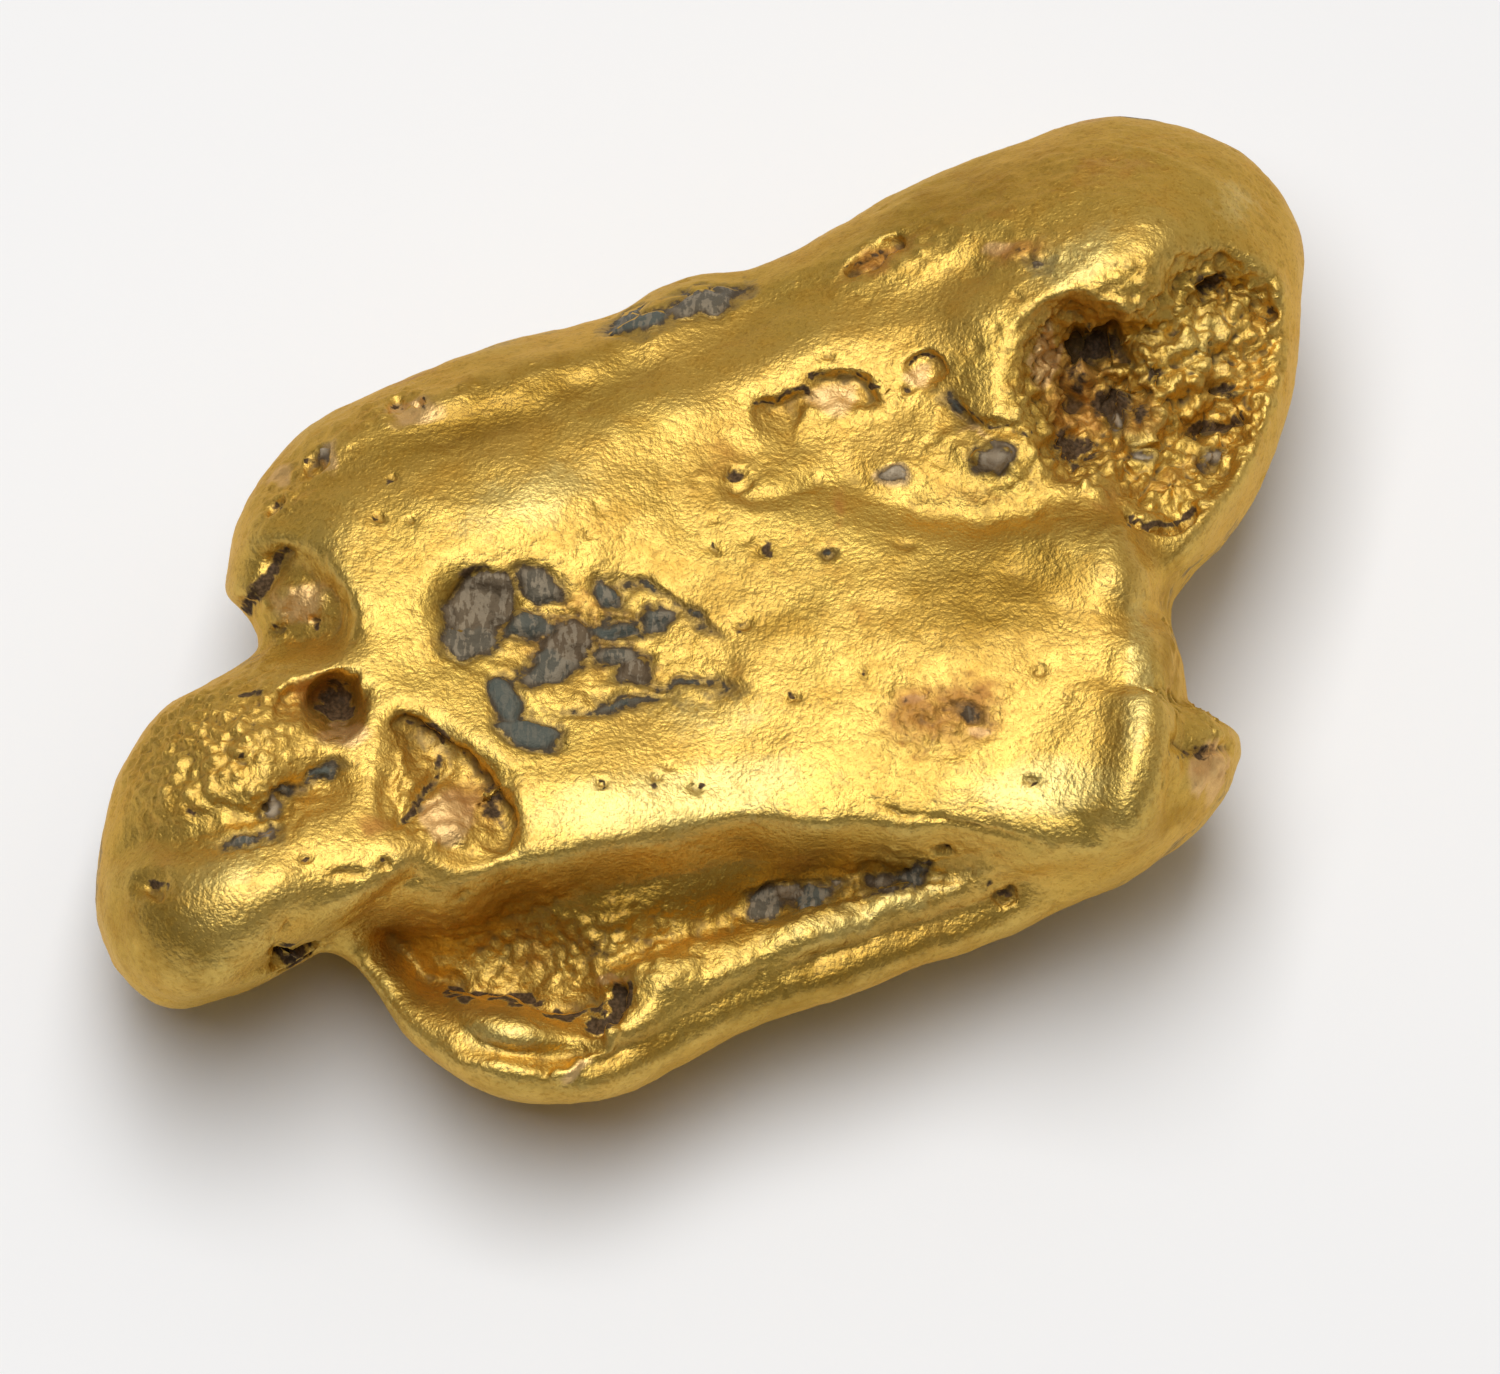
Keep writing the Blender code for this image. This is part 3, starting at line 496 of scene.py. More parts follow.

# Painted shade, as duller, more olive gold: strength, centre, half sizes, turn in degrees
PAINTED_SHADE_PATCHES = [
    (0.8, (7.4, 0.4), (3.2, 1.9), 10),
    (0.7, (-13.2, -8.0), (2.0, 1.3), -40),
    (0.7, (3.4, -8.9), (5.5, 0.8), 20),
    (0.5, (-0.6, -10.4), (2.6, 0.9), 25),
    (0.5, (-4.6, -11.7), (2.6, 0.5), 5),
    (0.5, (1.5, 0.6), (2.6, 1.8), 0),
    (0.35, (-1.2, 2.6), (4.0, 1.8), 20),
    (0.5, (6.5, 10.6), (5.0, 1.4), 25),
    (0.8, (-5.2, 5.1), (4.0, 0.9), 22),
    (0.8, (-1.5, -7.2), (6.0, 1.2), 3),
    (0.9, (11.8, -0.6), (0.5, 2.2), 0),
    (0.6, (11.6, -5.0), (1.4, 0.7), 30),
]

# Painted highlights, as paler gold: strength, centre, half sizes, turn in degrees
PAINTED_HIGHLIGHTS = [
    (0.95, (-0.6, -4.5), (4.2, 0.9), 8),
    (0.85, (8.4, -4.3), (2.4, 0.9), 5),
    (0.6, (-11.6, -6.3), (2.2, 0.6), 20),
    (0.8, (9.4, 8.8), (1.7, 0.8), 25),
    (0.7, (-4.2, 2.9), (2.4, 0.9), 20),
    (0.9, (10.8, -1.6), (0.38, 2.5), 0),
    (0.5, (-6.4, -3.0), (1.2, 0.8), -30),
    (0.5, (0.6, -2.6), (2.4, 0.9), 0),
    (0.6, (13.4, 10.4), (0.9, 1.0), 30),
    (0.55, (12.5, 6.8), (1.4, 1.6), 0),
    (0.85, (4.2, -7.35), (3.4, 0.4), 17),
    (0.7, (-5.0, -10.3), (1.4, 0.5), -5),
]

# Areas of fine crystal grain: strength, centre, half sizes, turn in degrees
GRANULAR = [
    (1.3, (-12.1, -3.2), (2.2, 1.8), 25),
    (1.0, (-3.2, -8.2), (3.8, 1.3), 3),
    (0.9, (3.6, -6.9), (4.2, 0.8), 12),
    (0.25, (2.2, -8.6), (4.5, 0.6), 20),
    (0.9, (-10.6, -4.7), (1.2, 0.9), 10),
    (0.7, (-9.8, 0.2), (1.3, 1.0), 0),
    (0.8, (-6.6, -4.4), (1.2, 1.5), 20),
    (0.8, (7.6, 3.8), (2.2, 0.9), 0),
    (1.1, (8.3, 5.4), (0.7, 2.4), 0),
    (0.35, (9.6, 11.0), (3.6, 1.0), 20),
    (0.3, (13.8, 10.2), (1.2, 1.6), 0),
    (0.8, (10.8, 8.3), (1.6, 0.6), 15),
    (0.5, (3.6, 5.4), (2.2, 0.7), 0),
    (0.4, (0.9, 3.4), (1.0, 0.6), 0),
    (0.7, (-3.2, -0.5), (3.2, 1.4), -12),
    (0.7, (4.8, 9.0), (1.8, 0.6), 25),
    (0.6, (8.2, 9.0), (1.4, 0.7), 10),
    (0.8, (5.9, -2.6), (1.5, 0.9), 5),
    (0.6, (-8.0, 5.1), (1.8, 0.6), 25),
    (0.6, (-10.2, 3.2), (0.8, 1.2), -30),
    (0.6, (12.6, -3.2), (0.7, 1.1), 5),
]

# Layers of crystals in the hollow: share of the height, size against the crystal size, and seed
CRUST_LAYERS = [(0.5, 2.0, 41), (0.55, 1.0, 42), (0.4, 0.6, 43)]

# Three ways in which an eight-sided crystal may be turned, each as its three axes
CRYSTAL_TURNS = [
    Matrix.Rotation(0.6, 3, "X") @ Matrix.Rotation(0.4, 3, "Y"),
    Matrix.Rotation(-0.5, 3, "Y") @ Matrix.Rotation(0.9, 3, "Z"),
    Matrix.Rotation(1.1, 3, "X") @ Matrix.Rotation(-0.7, 3, "Z"),
]

# How far the mineral grains stand out of the gold, and the depth of the fine trench round each
GRAIN_LIFT = 0.08
GRAIN_TRENCH = 0.1

# Smoothing passes over the dense skin, and over the skin that crevices and hollows are measured against for
# the painted shade in them
EVEN_PASSES = 4
CREVICE_PASSES = 6
HOLLOW_PASSES = 60

# Number of the first cell of the noises, so that all of their cells are above 0, and the multipliers that
# scramble a cell's numbers and the seed
FIRST_CELL = 1000
CELL_SCRAMBLE = (73856093, 19349663, 83492791)
SEED_SCRAMBLE = 26544357
SEED_SHIFT = 977
LAST_SCRAMBLE = 1274126177
LOW_BITS = 0xFFFFFF

# Colour that the gold reflects where it turns away from the viewer
EDGE_TINT = (0.92, 0.66, 0.34)

# The soft box overhead, a little behind and to the left, in metres, and the camera, in millimetres
KEY_PLACE = (-0.02, 0.005, 0.3)
KEY_SIZE = (0.32, 0.18)
KEY_COLOUR = (0.98, 0.99, 1.0)
WALL_COLOUR = (1.0, 0.88, 0.72)
BRIGHT_SIDE = (0.45, 0.64, 0.62)
LENS = 400
SENSOR = 36
VIEW_WIDTH = 37.5
VIEW_CENTRE = (1.25, -1.8)


def smooth_line(points, closed=False, steps=8):
    """Points read from a smooth curve through the given ones."""
    points = np.array(points, float)
    if closed:
        padded = np.vstack([points[-1:], points, points[:2]])
    else:
        padded = np.vstack([2 * points[0] - points[1], points, 2 * points[-1] - points[-2]])
    a, b, c, d = padded[:-3, None], padded[1:-2, None], padded[2:-1, None], padded[3:, None]
    t = np.linspace(0, 1, steps, endpoint=False)[None, :, None]
    curve = 0.5 * (2 * b + (c - a) * t + (2 * a - 5 * b + 4 * c - d) * t**2 + (3 * b - a - 3 * c + d) * t**3)
    curve = curve.reshape(-1, 2)
    return curve if closed else np.vstack([curve, points[-1]])


def outline_radius(angles):
    """Distance from the middle of the drawing to the outline, at each angle."""
    line = smooth_line(OUTLINE, closed=True)
    line_angles = np.arctan2(line[:, 1], line[:, 0])
    order = np.argsort(line_angles)
    return np.interp(angles, line_angles[order], np.hypot(line[:, 0], line[:, 1])[order], period=2 * math.pi)


def around(angles, stops):
    """A value that changes smoothly round the outline between (degrees, value) stops."""
    where = np.radians([stop[0] for stop in stops])
    values = np.array([stop[1] for stop in stops], float)
    fine = np.linspace(0, 2 * math.pi, 361)
    linear = np.interp(fine, where, values, period=2 * math.pi)[:-1]
    window = np.hanning(41)
    smooth = np.convolve(np.tile(linear, 3), window / window.sum(), mode="same")[360:720]
    return np.interp(angles, fine[:-1], smooth, period=2 * math.pi)


def line_distance(at, line):
    """Shortest distance from each point of the drawing to a line."""
    nearest = np.full(len(at), np.inf)
    for start, end in zip(line[:-1], line[1:]):
        along = end - start
        share = np.clip(((at - start) @ along) / (along @ along), 0, 1)
        nearest = np.minimum(nearest, np.linalg.norm(at - start - share[:, None] * along, axis=1))
    return nearest


def oval_distance(at, centre, half_sizes, turn):
    """Distance from the centre of a turned oval, 1 on its edge."""
    angle = math.radians(turn)
    offset = at - np.array(centre)
    along = offset @ np.array([math.cos(angle), math.sin(angle)])
    aside = offset @ np.array([-math.sin(angle), math.cos(angle)])
    return np.hypot(along / half_sizes[0], aside / half_sizes[1])


def inside(at, border):
    """Which points of the drawing lie inside a closed line."""
    within = np.zeros(len(at), bool)
    for start, end in zip(border, np.roll(border, -1, axis=0)):
        crosses = (start[1] > at[:, 1]) != (end[1] > at[:, 1])
        rise = end[1] - start[1] if end[1] != start[1] else 1
        edge = start[0] + (at[:, 1] - start[1]) / rise * (end[0] - start[0])
        within ^= crosses & (at[:, 0] < edge)
    return within


def depth_inside(at, points):
    """Distance in from a closed line, negative outside it."""
    border = smooth_line(points, closed=True)
    distance = line_distance(at, np.vstack([border, border[:1]]))
    return np.where(inside(at, border), distance, -distance)


def eased(share):
    """A soft step from 0 to 1."""
    share = np.clip(share, 0, 1)
    return share**2 * (3 - 2 * share)


def terraces(at, table):
    lift = np.zeros(len(at))
    for depth, wall, points in table:
        lift -= depth * eased(0.5 + depth_inside(at, points) / (2 * wall))
    return lift


def ridges(at, table):
    lift = np.zeros(len(at))
    for height, width, line in table:
        lift += height * np.exp(-(line_distance(at, smooth_line(line)) / width) ** 2)
    return lift


def scarps(at, table):
    """Crescent steps: a drop just right of each line, strongest at its middle, that eases back out."""
    lift = np.zeros(len(at))
    for drop, reach, points in table:
        line = smooth_line(points)
        side = np.full(len(at), np.inf)
        along = np.zeros(len(at))
        for number, (start, end) in enumerate(zip(line[:-1], line[1:])):
            step = end - start
            share = np.clip(((at - start) @ step) / (step @ step), 0, 1)
            offset = at - start - share[:, None] * step
            distance = np.linalg.norm(offset, axis=1)
            signed = np.where(step[1] * offset[:, 0] - step[0] * offset[:, 1] > 0, distance, -distance)
            closer = distance < np.abs(side)
            side = np.where(closer, signed, side)
            along = np.where(closer, (number + share) / (len(line) - 1), along)
        strength = np.sqrt(np.sin(np.pi * np.clip(along, 0, 1)).clip(0))
        lift -= drop * strength * eased(0.5 + side / (2 * SCARP_WALL)) * np.exp(-(side / reach) ** 2)
    return lift


def swells(at, table):
    lift = np.zeros(len(at))
    for height, centre, half_sizes, turn in table:
        lift += height * np.exp(-oval_distance(at, centre, half_sizes, turn) ** 2)
    return lift


def pits(at, table):
    """Floors pressed down inside ovals, with soft walls PIT_WALL of their half size wide on each side."""
    lift = np.zeros(len(at))
    for depth, centre, half_sizes, turn in table:
        distance = oval_distance(at, centre, half_sizes, turn)
        lift -= depth * eased((1 + PIT_WALL - distance) / (2 * PIT_WALL))
    return lift


def rubble(at, table):
    lift = np.zeros(len(at))
    for height, size, points in table:
        within = inside(at, smooth_line(points, closed=True))
        lumps = [noise.noise(Vector((x, y, 0)) / size + SKIN_SEED) for x, y in at[within]]
        lift[within] += height * np.array(lumps)
    return lift


def drift(place):
    """A slow noise that points in a direction of its own at each place."""
    return Vector([noise.noise(place + shift) for shift in DRIFT_SHIFTS])


def wavered(at):
    """The points of the drawing moved a little, so that no drawn line stays even."""
    moves = [drift(Vector((x, y, 0)) / WAVER_STEP + SKIN_SEED)[:2] for x, y in at]
    return at + WAVER * np.array(moves)


def out_at_height(at, height):
    """How far out of the drawing a point lies, to stand at a height above the ground after the tipping."""
    return (height - RIM_HEIGHT - at[:, 1] * math.sin(FACE_TIP)) / math.cos(FACE_TIP)


def belly_height(at):
    """Height of the underside, lowest under the nugget's centre of mass."""
    away = (at - np.array(BELLY_CENTRE)) / np.array([1, math.cos(FACE_TIP)]) / BELLY_REACH
    return BELLY_RISE * (1 - np.exp(-(away**2).sum(axis=1)))


def rolled_edge(inset, radius):
    """0 at the outline, 1 from radius inwards, and a quarter round between them."""
    return np.sqrt(1 - (1 - np.clip(inset / radius, 0, 1)) ** 2)


def pebble(directions):
    """Places the points of a unit ball on the nugget: the upper half on its face, the lower on its back."""
    angles = np.arctan2(directions[:, 1], directions[:, 0])
    share = np.hypot(directions[:, 0], directions[:, 1])
    reach = outline_radius(angles)
    at = directions[:, :2] * reach[:, None]
    inset = reach * (1 - np.clip(share, 0, 1))
    drawn = wavered(at)

    rim = out_at_height(at, RIM_HEIGHT + RIM_RISE * at[:, 1])
    face = out_at_height(at, np.full(len(at), TOP_HEIGHT)) - rim
    face_relief = terraces(drawn, FACE_TERRACES) + ridges(drawn, FACE_RIDGES)
    face_relief += swells(drawn, FACE_SWELLS) + pits(drawn, FACE_PITS) + rubble(drawn, FACE_RUBBLE)
    back = rim - out_at_height(at, belly_height(at))
    back_relief = ridges(drawn, BACK_RIDGES) + swells(drawn, BACK_SWELLS) + pits(drawn, BACK_PITS)

    open_edge = np.clip(inset / OPEN_EDGE, 0, 1)
    out_face = face * rolled_edge(inset, around(angles, FACE_ROLL)) + face_relief * open_edge
    out_back = -back * rolled_edge(inset, around(angles, BACK_ROLL)) - back_relief * open_edge
    out = rim + np.where(directions[:, 2] >= 0, out_face, out_back)
    return np.column_stack([at, out])


def boss_height(place):
    """Worn bosses with creases between them, 0 in the creases and 1 on the bosses."""
    nearest = noise.voronoi(place + 0.25 * drift(place * 1.3))[0]
    gap = (nearest[1] - nearest[0]) / 0.4
    return float(eased(gap))


def wear(mesh):
    """Moves the skin in and out along its normals, more on the back than on the face."""
    mesh.normal_update()
    for vertex in mesh.verts:
        behind = min(1, max(0, -0.15 - 1.6 * vertex.normal.z))
        place = vertex.co / MM
        behind *= 1 - math.exp(-((place.xy - Vector(BELLY_CENTRE)).length / CALM_REACH) ** 2)
        place += SKIN_SEED
        lift = (WORN_FACE + (WORN_BACK - WORN_FACE) * behind) * noise.fractal(place / WORN_LUMP, 1.0, 2.0, 2)
        if behind:
            lift += BOSS * behind * (boss_height(place / BOSS_STEP) - 1)
        vertex.co += vertex.normal * lift * MM


def base_mesh():
    """The nugget's main form as a mesh in the drawing's own directions, in metres."""
    mesh = bmesh.new()
    bmesh.ops.create_icosphere(mesh, subdivisions=PEBBLE_STEPS, radius=1)
    ball = np.array([vertex.co[:] for vertex in mesh.verts])
    for vertex, place in zip(mesh.verts, pebble(ball)):
        vertex.co = place * MM
    wear(mesh)
    data = bpy.data.meshes.new("nugget form")
    mesh.to_mesh(data)
    mesh.free()
    return data


def modified(data, name, modifiers):
    """The mesh after a list of (type, settings) modifiers."""
    thing = bpy.data.objects.new(name, data)
    bpy.context.scene.collection.objects.link(thing)
    for kind, settings in modifiers:
        modifier = thing.modifiers.new(kind.lower(), kind)
        for key, value in settings.items():
            setattr(modifier, key, value)
    graph = bpy.context.evaluated_depsgraph_get()
    result = bpy.data.meshes.new_from_object(thing.evaluated_get(graph), depsgraph=graph)
    bpy.data.objects.remove(thing)
    return result


def read_points(data, name="co"):
    source = data.vertices if name == "co" else data.vertex_normals
    values = np.empty(len(data.vertices) * 3, np.float32)
    source.foreach_get(name if name == "co" else "vector", values)
    return values.reshape(-1, 3).astype(float)


def read_edges(data):
    values = np.empty(len(data.edges) * 2, np.int32)
    data.edges.foreach_get("vertices", values)
    return values.reshape(-1, 2)


def blurred(values, edges, passes):
    """Values shared out between neighbouring points, a number of times."""
    count = np.bincount(edges.ravel(), minlength=len(values))
    first, second = edges[:, 0], edges[:, 1]
    for _ in range(passes):
        columns = []
        for column in values.T:
            total = np.bincount(first, column[second], len(values))
            total += np.bincount(second, column[first], len(values))
            columns.append((column + total / count) / 2)
        values = np.column_stack(columns)
    return values


def lattice(cell, seed):
    """A fixed random number from 0 to 1 for each whole-number place."""
    mixed = np.full(len(cell), seed * SEED_SCRAMBLE + SEED_SHIFT, np.uint64)
    for numbers, multiplier in zip(cell.T, CELL_SCRAMBLE):
        mixed ^= numbers.astype(np.uint64) * np.uint64(multiplier)
    mixed = (mixed ^ (mixed >> np.uint64(13))) * np.uint64(LAST_SCRAMBLE)
    mixed ^= mixed >> np.uint64(16)
    return (mixed & np.uint64(LOW_BITS)).astype(float) / LOW_BITS


def cells(places, size):
    """The places in units of size, and the whole-number cell that each lies in."""
    scaled = places / size + FIRST_CELL
    return scaled, np.floor(scaled).astype(np.int64)


def cell_point(cell, seed):
    """A random point inside each cell."""
    return cell + np.column_stack([lattice(cell, seed + axis) for axis in range(3)])


def soft_noise(places, size, seed):
    """Smooth noise from -1 to 1 with lumps of about the given size."""
    scaled, cell = cells(places, size)
    share = scaled - cell
    share = share**3 * (share * (share * 6 - 15) + 10)
    total = np.zeros(len(places))
    for corner in product((0, 1), repeat=3):
        weight = np.prod(np.where(corner, share, 1 - share), axis=1)
        total += weight * lattice(cell + np.array(corner), seed)
    return 2 * total - 1


def layered_noise(places, size, layers, seed):
    """Smooth noise with finer and weaker layers added."""
    total = np.zeros(len(places))
    for layer in range(layers):
        total += soft_noise(places, size / 2**layer, seed + layer) / 2**layer
    return total


def dents(places, size, seed):
    """Distance to the nearest of scattered points, in units of size."""
    scaled, cell = cells(places, size)
    nearest = np.full(len(places), np.inf)
    for step in product((-1, 0, 1), repeat=3):
        spot = cell_point(cell + np.array(step), seed)
        nearest = np.minimum(nearest, np.linalg.norm(scaled - spot, axis=1))
    return nearest


def crystals(places, size, seed):
    """Height of a crust of eight-sided crystals, from about -0.5 between them to 1 on their tips."""
    scaled, cell = cells(places, size)
    height = np.full(len(places), -np.inf)
    for step in product((-1, 0, 1), repeat=3):
        near = cell + np.array(step)
        offset = scaled - cell_point(near, seed)
        kind = (lattice(near, seed + 5) * len(CRYSTAL_TURNS)).astype(int)
        reach = np.zeros(len(places))
        for number, turn in enumerate(CRYSTAL_TURNS):
            turned = np.abs(offset @ np.array(turn)).sum(axis=1)
            reach = np.where(kind == number, turned, reach)
        height = np.maximum(height, 0.55 + 0.45 * lattice(near, seed + 6) - reach)
    return np.clip(height, -0.5, 1)


def oval_marks(at, table):
    """How far in from the edge of its nearest oval each point is, in mm, and that oval's first value."""
    within = np.full(len(at), -3.0)
    value = np.zeros(len(at))
    for first, centre, half_sizes, turn in table:
        distance = min(half_sizes) * (1 - oval_distance(at, centre, half_sizes, turn))
        value = np.where(distance > within, first, value)
        within = np.maximum(within, distance)
    return within, value


def spread(at, table):
    """The strongest of the table's soft ovals at each point, as strength times a bell."""
    total = np.zeros(len(at))
    for strength, centre, half_sizes, turn in table:
        total = np.maximum(total, strength * np.exp(-oval_distance(at, centre, half_sizes, turn) ** 2))
    return total


def facing(normals):
    """1 on the face of the nugget, 0 on its back."""
    return eased((normals[:, 2] - 0.05) / 0.25)


def scattered_pits(places, normals, count, size, depth, seed):
    """Small pits at random places all over the skin."""
    chance = np.random.default_rng(seed)
    lift = np.zeros(len(places))
    for centre in chance.integers(0, len(places), count):
        middle = places[centre]
        radius = size * chance.uniform(0.5, 1.5)
        along = np.cross(normals[centre], chance.normal(size=3))
        along /= np.linalg.norm(along)
        stretch = chance.uniform(0.4, 1.0)
        near = np.flatnonzero(np.abs(places - middle).max(axis=1) < 3 * radius)
        offset = places[near] - middle
        share = np.sqrt((offset**2).sum(axis=1) - (1 - stretch**2) * (offset @ along) ** 2) / radius
        share += 0.6 * soft_noise(places[near], 0.8 * radius, seed)
        lift[near] -= depth * chance.uniform(0.3, 1.2) * eased((1.3 - share) / 0.8)
    return lift


def uneven(places, size, seed):
    """A smooth random move across and up the drawing, at most about 1 each way."""
    return np.column_stack([soft_noise(places, size, seed), soft_noise(places, size, seed + 1)])


def grain_places(places):
    """Where the mineral grains are looked up, so that their edges are uneven."""
    return places[:, :2] + 0.2 * uneven(places, 0.45, 33)


def drawn_relief(places, at):
    """The ledges, ridges, lumps, pits and mineral grains of the fine tables."""
    grain, _ = oval_marks(grain_places(places), GRAINS)
    lift = terraces(at, FINE_TERRACES) + ridges(at, FINE_RIDGES) + scarps(at, FINE_SCARPS)
    lift += swells(at, FINE_SWELLS) + pits(at, FINE_PITS)
    return lift + GRAIN_LIFT * eased(grain / 0.2) - GRAIN_TRENCH * np.exp(-((grain / 0.08) ** 2))


def hollow_crust(places, hollow, size):
    """The crust of crystals in the hollow, as strong as hollow says."""
    height = np.zeros(len(places))
    crusted = hollow > 0
    for share, scale, seed in CRUST_LAYERS:
        height[crusted] += share * crystals(places[crusted], size * scale, seed)
    return hollow * size * height


def granular_crust(places, granular, size):
    """Fine crystal grain, as strong as granular says."""
    height = np.zeros(len(places))
    crusted = granular > 0.02
    height[crusted] = crystals(places[crusted], size, 45)
    return granular * size * height * 0.6


def worn_relief(places, height):
    """The hammered unevenness of a river-worn skin."""
    lift = dents(places, 1.1, 47) - 0.5
    lift += 0.9 * layered_noise(places, 1.3, 2, 61)
    lift += 0.3 * layered_noise(places, 0.32, 2, 65)
    return height * lift


def skin_relief(places, normals, sizes):
    """Fine relief along the normals, in millimetres."""
    at = places[:, :2] + WAVER * (0.5 * uneven(places, 0.7, 31) + 0.3 * uneven(places, 0.25, 35))
    face = facing(normals)
    below = eased((-normals[:, 2] - 0.15) / 0.35)
    hollow = face * eased(1.0 + depth_inside(at, HOLLOW_BORDER) / 0.8)
    back_crust = eased((layered_noise(places, 3.5, 2, 51) - 0.35) / 0.4)
    granular = face * spread(at, GRANULAR) + below * back_crust
    calm = 1 - np.maximum(hollow, 0.6 * granular)

    lift = face * drawn_relief(places, at)
    lift += hollow_crust(places, hollow, sizes.crystal)
    lift += granular_crust(places, granular, sizes.grain)
    lift += calm * worn_relief(places, sizes.worn)
    lift += scattered_pits(places, normals, sizes.pit_count, sizes.pit, sizes.pit * 0.55, 7)
    return lift


def write_field(data, name, values):
    field = data.attributes.new(name, "FLOAT", "POINT")
    field.data.foreach_set("value", np.ascontiguousarray(values, np.float32))


def write_fields(data, places, normals):
    """Records on the mesh where the stains, soil, grains and crystals are, and where shade, highlights and
    reflections are painted.
    """
    at = grain_places(places)
    face = facing(normals)
    grain, tone = oval_marks(at, GRAINS)
    patches = layered_noise(places, 2.2, 3, 71)
    grain = np.where(face > 0.5, grain, 0.3 * (patches - 1.0))
    tone = np.where(face > 0.5, tone, 0.5 + 0.5 * soft_noise(places, 1.5, 72))
    write_field(data, "grain", np.clip(grain, -1, 1))
    write_field(data, "grain_tone", tone)
    pit_dirt = [(0.8, centre, half_sizes, turn) for _, centre, half_sizes, turn in FINE_PITS]
    soil_and_shade = face * np.maximum(spread(at, DIRT), spread(at, pit_dirt))
    crack = np.zeros(len(at))
    for strength, width, line in CRACKS:
        crack = np.maximum(crack, strength * np.exp(-(line_distance(at, smooth_line(line)) / width) ** 2))
    write_field(data, "soil_and_shade", np.maximum(soil_and_shade, face * crack))
    back_stain = 0.8 * eased((layered_noise(places, 3.0, 2, 73) - 0.3) / 0.5)
    write_field(data, "stain", face * spread(at, STAINS) + (1 - face) * back_stain)
    # painted reflections on the smooth facets
    write_field(data, "painted_reflection", face * spread(at, PAINTED_REFLECTIONS))
    # painted shade
    write_field(data, "painted_shade", face * spread(at, PAINTED_SHADE_PATCHES))
    # painted highlights
    write_field(data, "painted_highlight", face * spread(at, PAINTED_HIGHLIGHTS))
    granular = np.maximum(spread(at, GRANULAR), eased(0.5 + depth_inside(at, HOLLOW_BORDER) / 0.6))
    write_field(data, "crust", face * granular)
    edges = read_edges(data)
    # how deep each point lies in a fine crevice and in a broad hollow, for the painted shade there and the
    # painted highlights on convex edges
    for name, passes in (("crevice_shade", CREVICE_PASSES), ("hollow", HOLLOW_PASSES)):
        points = blurred(places, edges, passes)
        write_field(data, name, ((points - places) * normals).sum(axis=1))


def nugget_mesh(sizes):
    form = base_mesh()
    voxels = {"mode": "VOXEL", "voxel_size": sizes.step * MM}
    smoothing = {"factor": 0.5, "iterations": EVEN_PASSES}
    dense = modified(form, "even skin", [("REMESH", voxels), ("SMOOTH", smoothing)])
    places = read_points(dense) / MM
    normals = read_points(dense, "normal")
    places += normals * skin_relief(places, normals, sizes)[:, None]
    dense.vertices.foreach_set("co", (places * MM).astype(np.float32).ravel())
    dense.update()
    # the dense skin is made of four-sided faces, two triangles each
    ratio = min(1, sizes.triangles / (2 * len(dense.polygons)))
    skin = modified(dense, "thin skin", [("DECIMATE", {"ratio": ratio})])
    write_fields(skin, read_points(skin) / MM, read_points(skin, "normal"))
    tip = Matrix.Translation(FACE_ORIGIN * MM) @ Matrix.Rotation(FACE_TIP, 4, "X")
    skin.transform(tip)
    points = read_points(skin)
    points[:, 2] = np.maximum(points[:, 2], 0)
    skin.vertices.foreach_set("co", points.astype(np.float32).ravel())
    skin.shade_smooth()
    skin.update()
    return skin


class Socket:
    """An output of a node, which adds Math nodes when it is used in a sum."""

    def __init__(self, tree, output):
        self.tree = tree
        self.output = output

    def node(self, kind, settings, values, output=0):
        """Adds a node: its settings first, then the values or links of its sockets."""
        node = self.tree.nodes.new(kind)
        for name, setting in settings.items():
            setattr(node, name, setting)
        for name, value in values.items():
            if isinstance(value, Socket):
                self.tree.links.new(value.output, node.inputs[name])
            else:
                node.inputs[name].default_value = value
        return Socket(self.tree, node.outputs[output])

    def math(self, operation, first, second):
        return self.node("ShaderNodeMath", {"operation": operation}, {0: first, 1: second})

    def __add__(self, other):
        return self.math("ADD", self, other)

    def __radd__(self, other):
        return self.math("ADD", other, self)

    def __sub__(self, other):
        return self.math("SUBTRACT", self, other)

    def __rsub__(self, other):
        return self.math("SUBTRACT", other, self)

    def __mul__(self, other):
        return self.math("MULTIPLY", self, other)

    def __rmul__(self, other):
        return self.math("MULTIPLY", other, self)

    def step(self, low, high):
        """A soft step from 0 at low to 1 at high."""
        limits = {"Value": self, "From Min": low, "From Max": high}
        return self.node("ShaderNodeMapRange", {"interpolation_type": "SMOOTHSTEP"}, limits)

    def most(self, other):
        return self.math("MAXIMUM", self, other)

    def mix(self, start, end):
        """A colour from start to end as this value goes from 0 to 1."""
        return self.node("ShaderNodeMix", {"data_type": "RGBA"}, {0: self, 6: start, 7: end}, 2)


def colour(values, factor=1.0):
    return tuple(value * factor for value in values[:3]) + (1.0,)


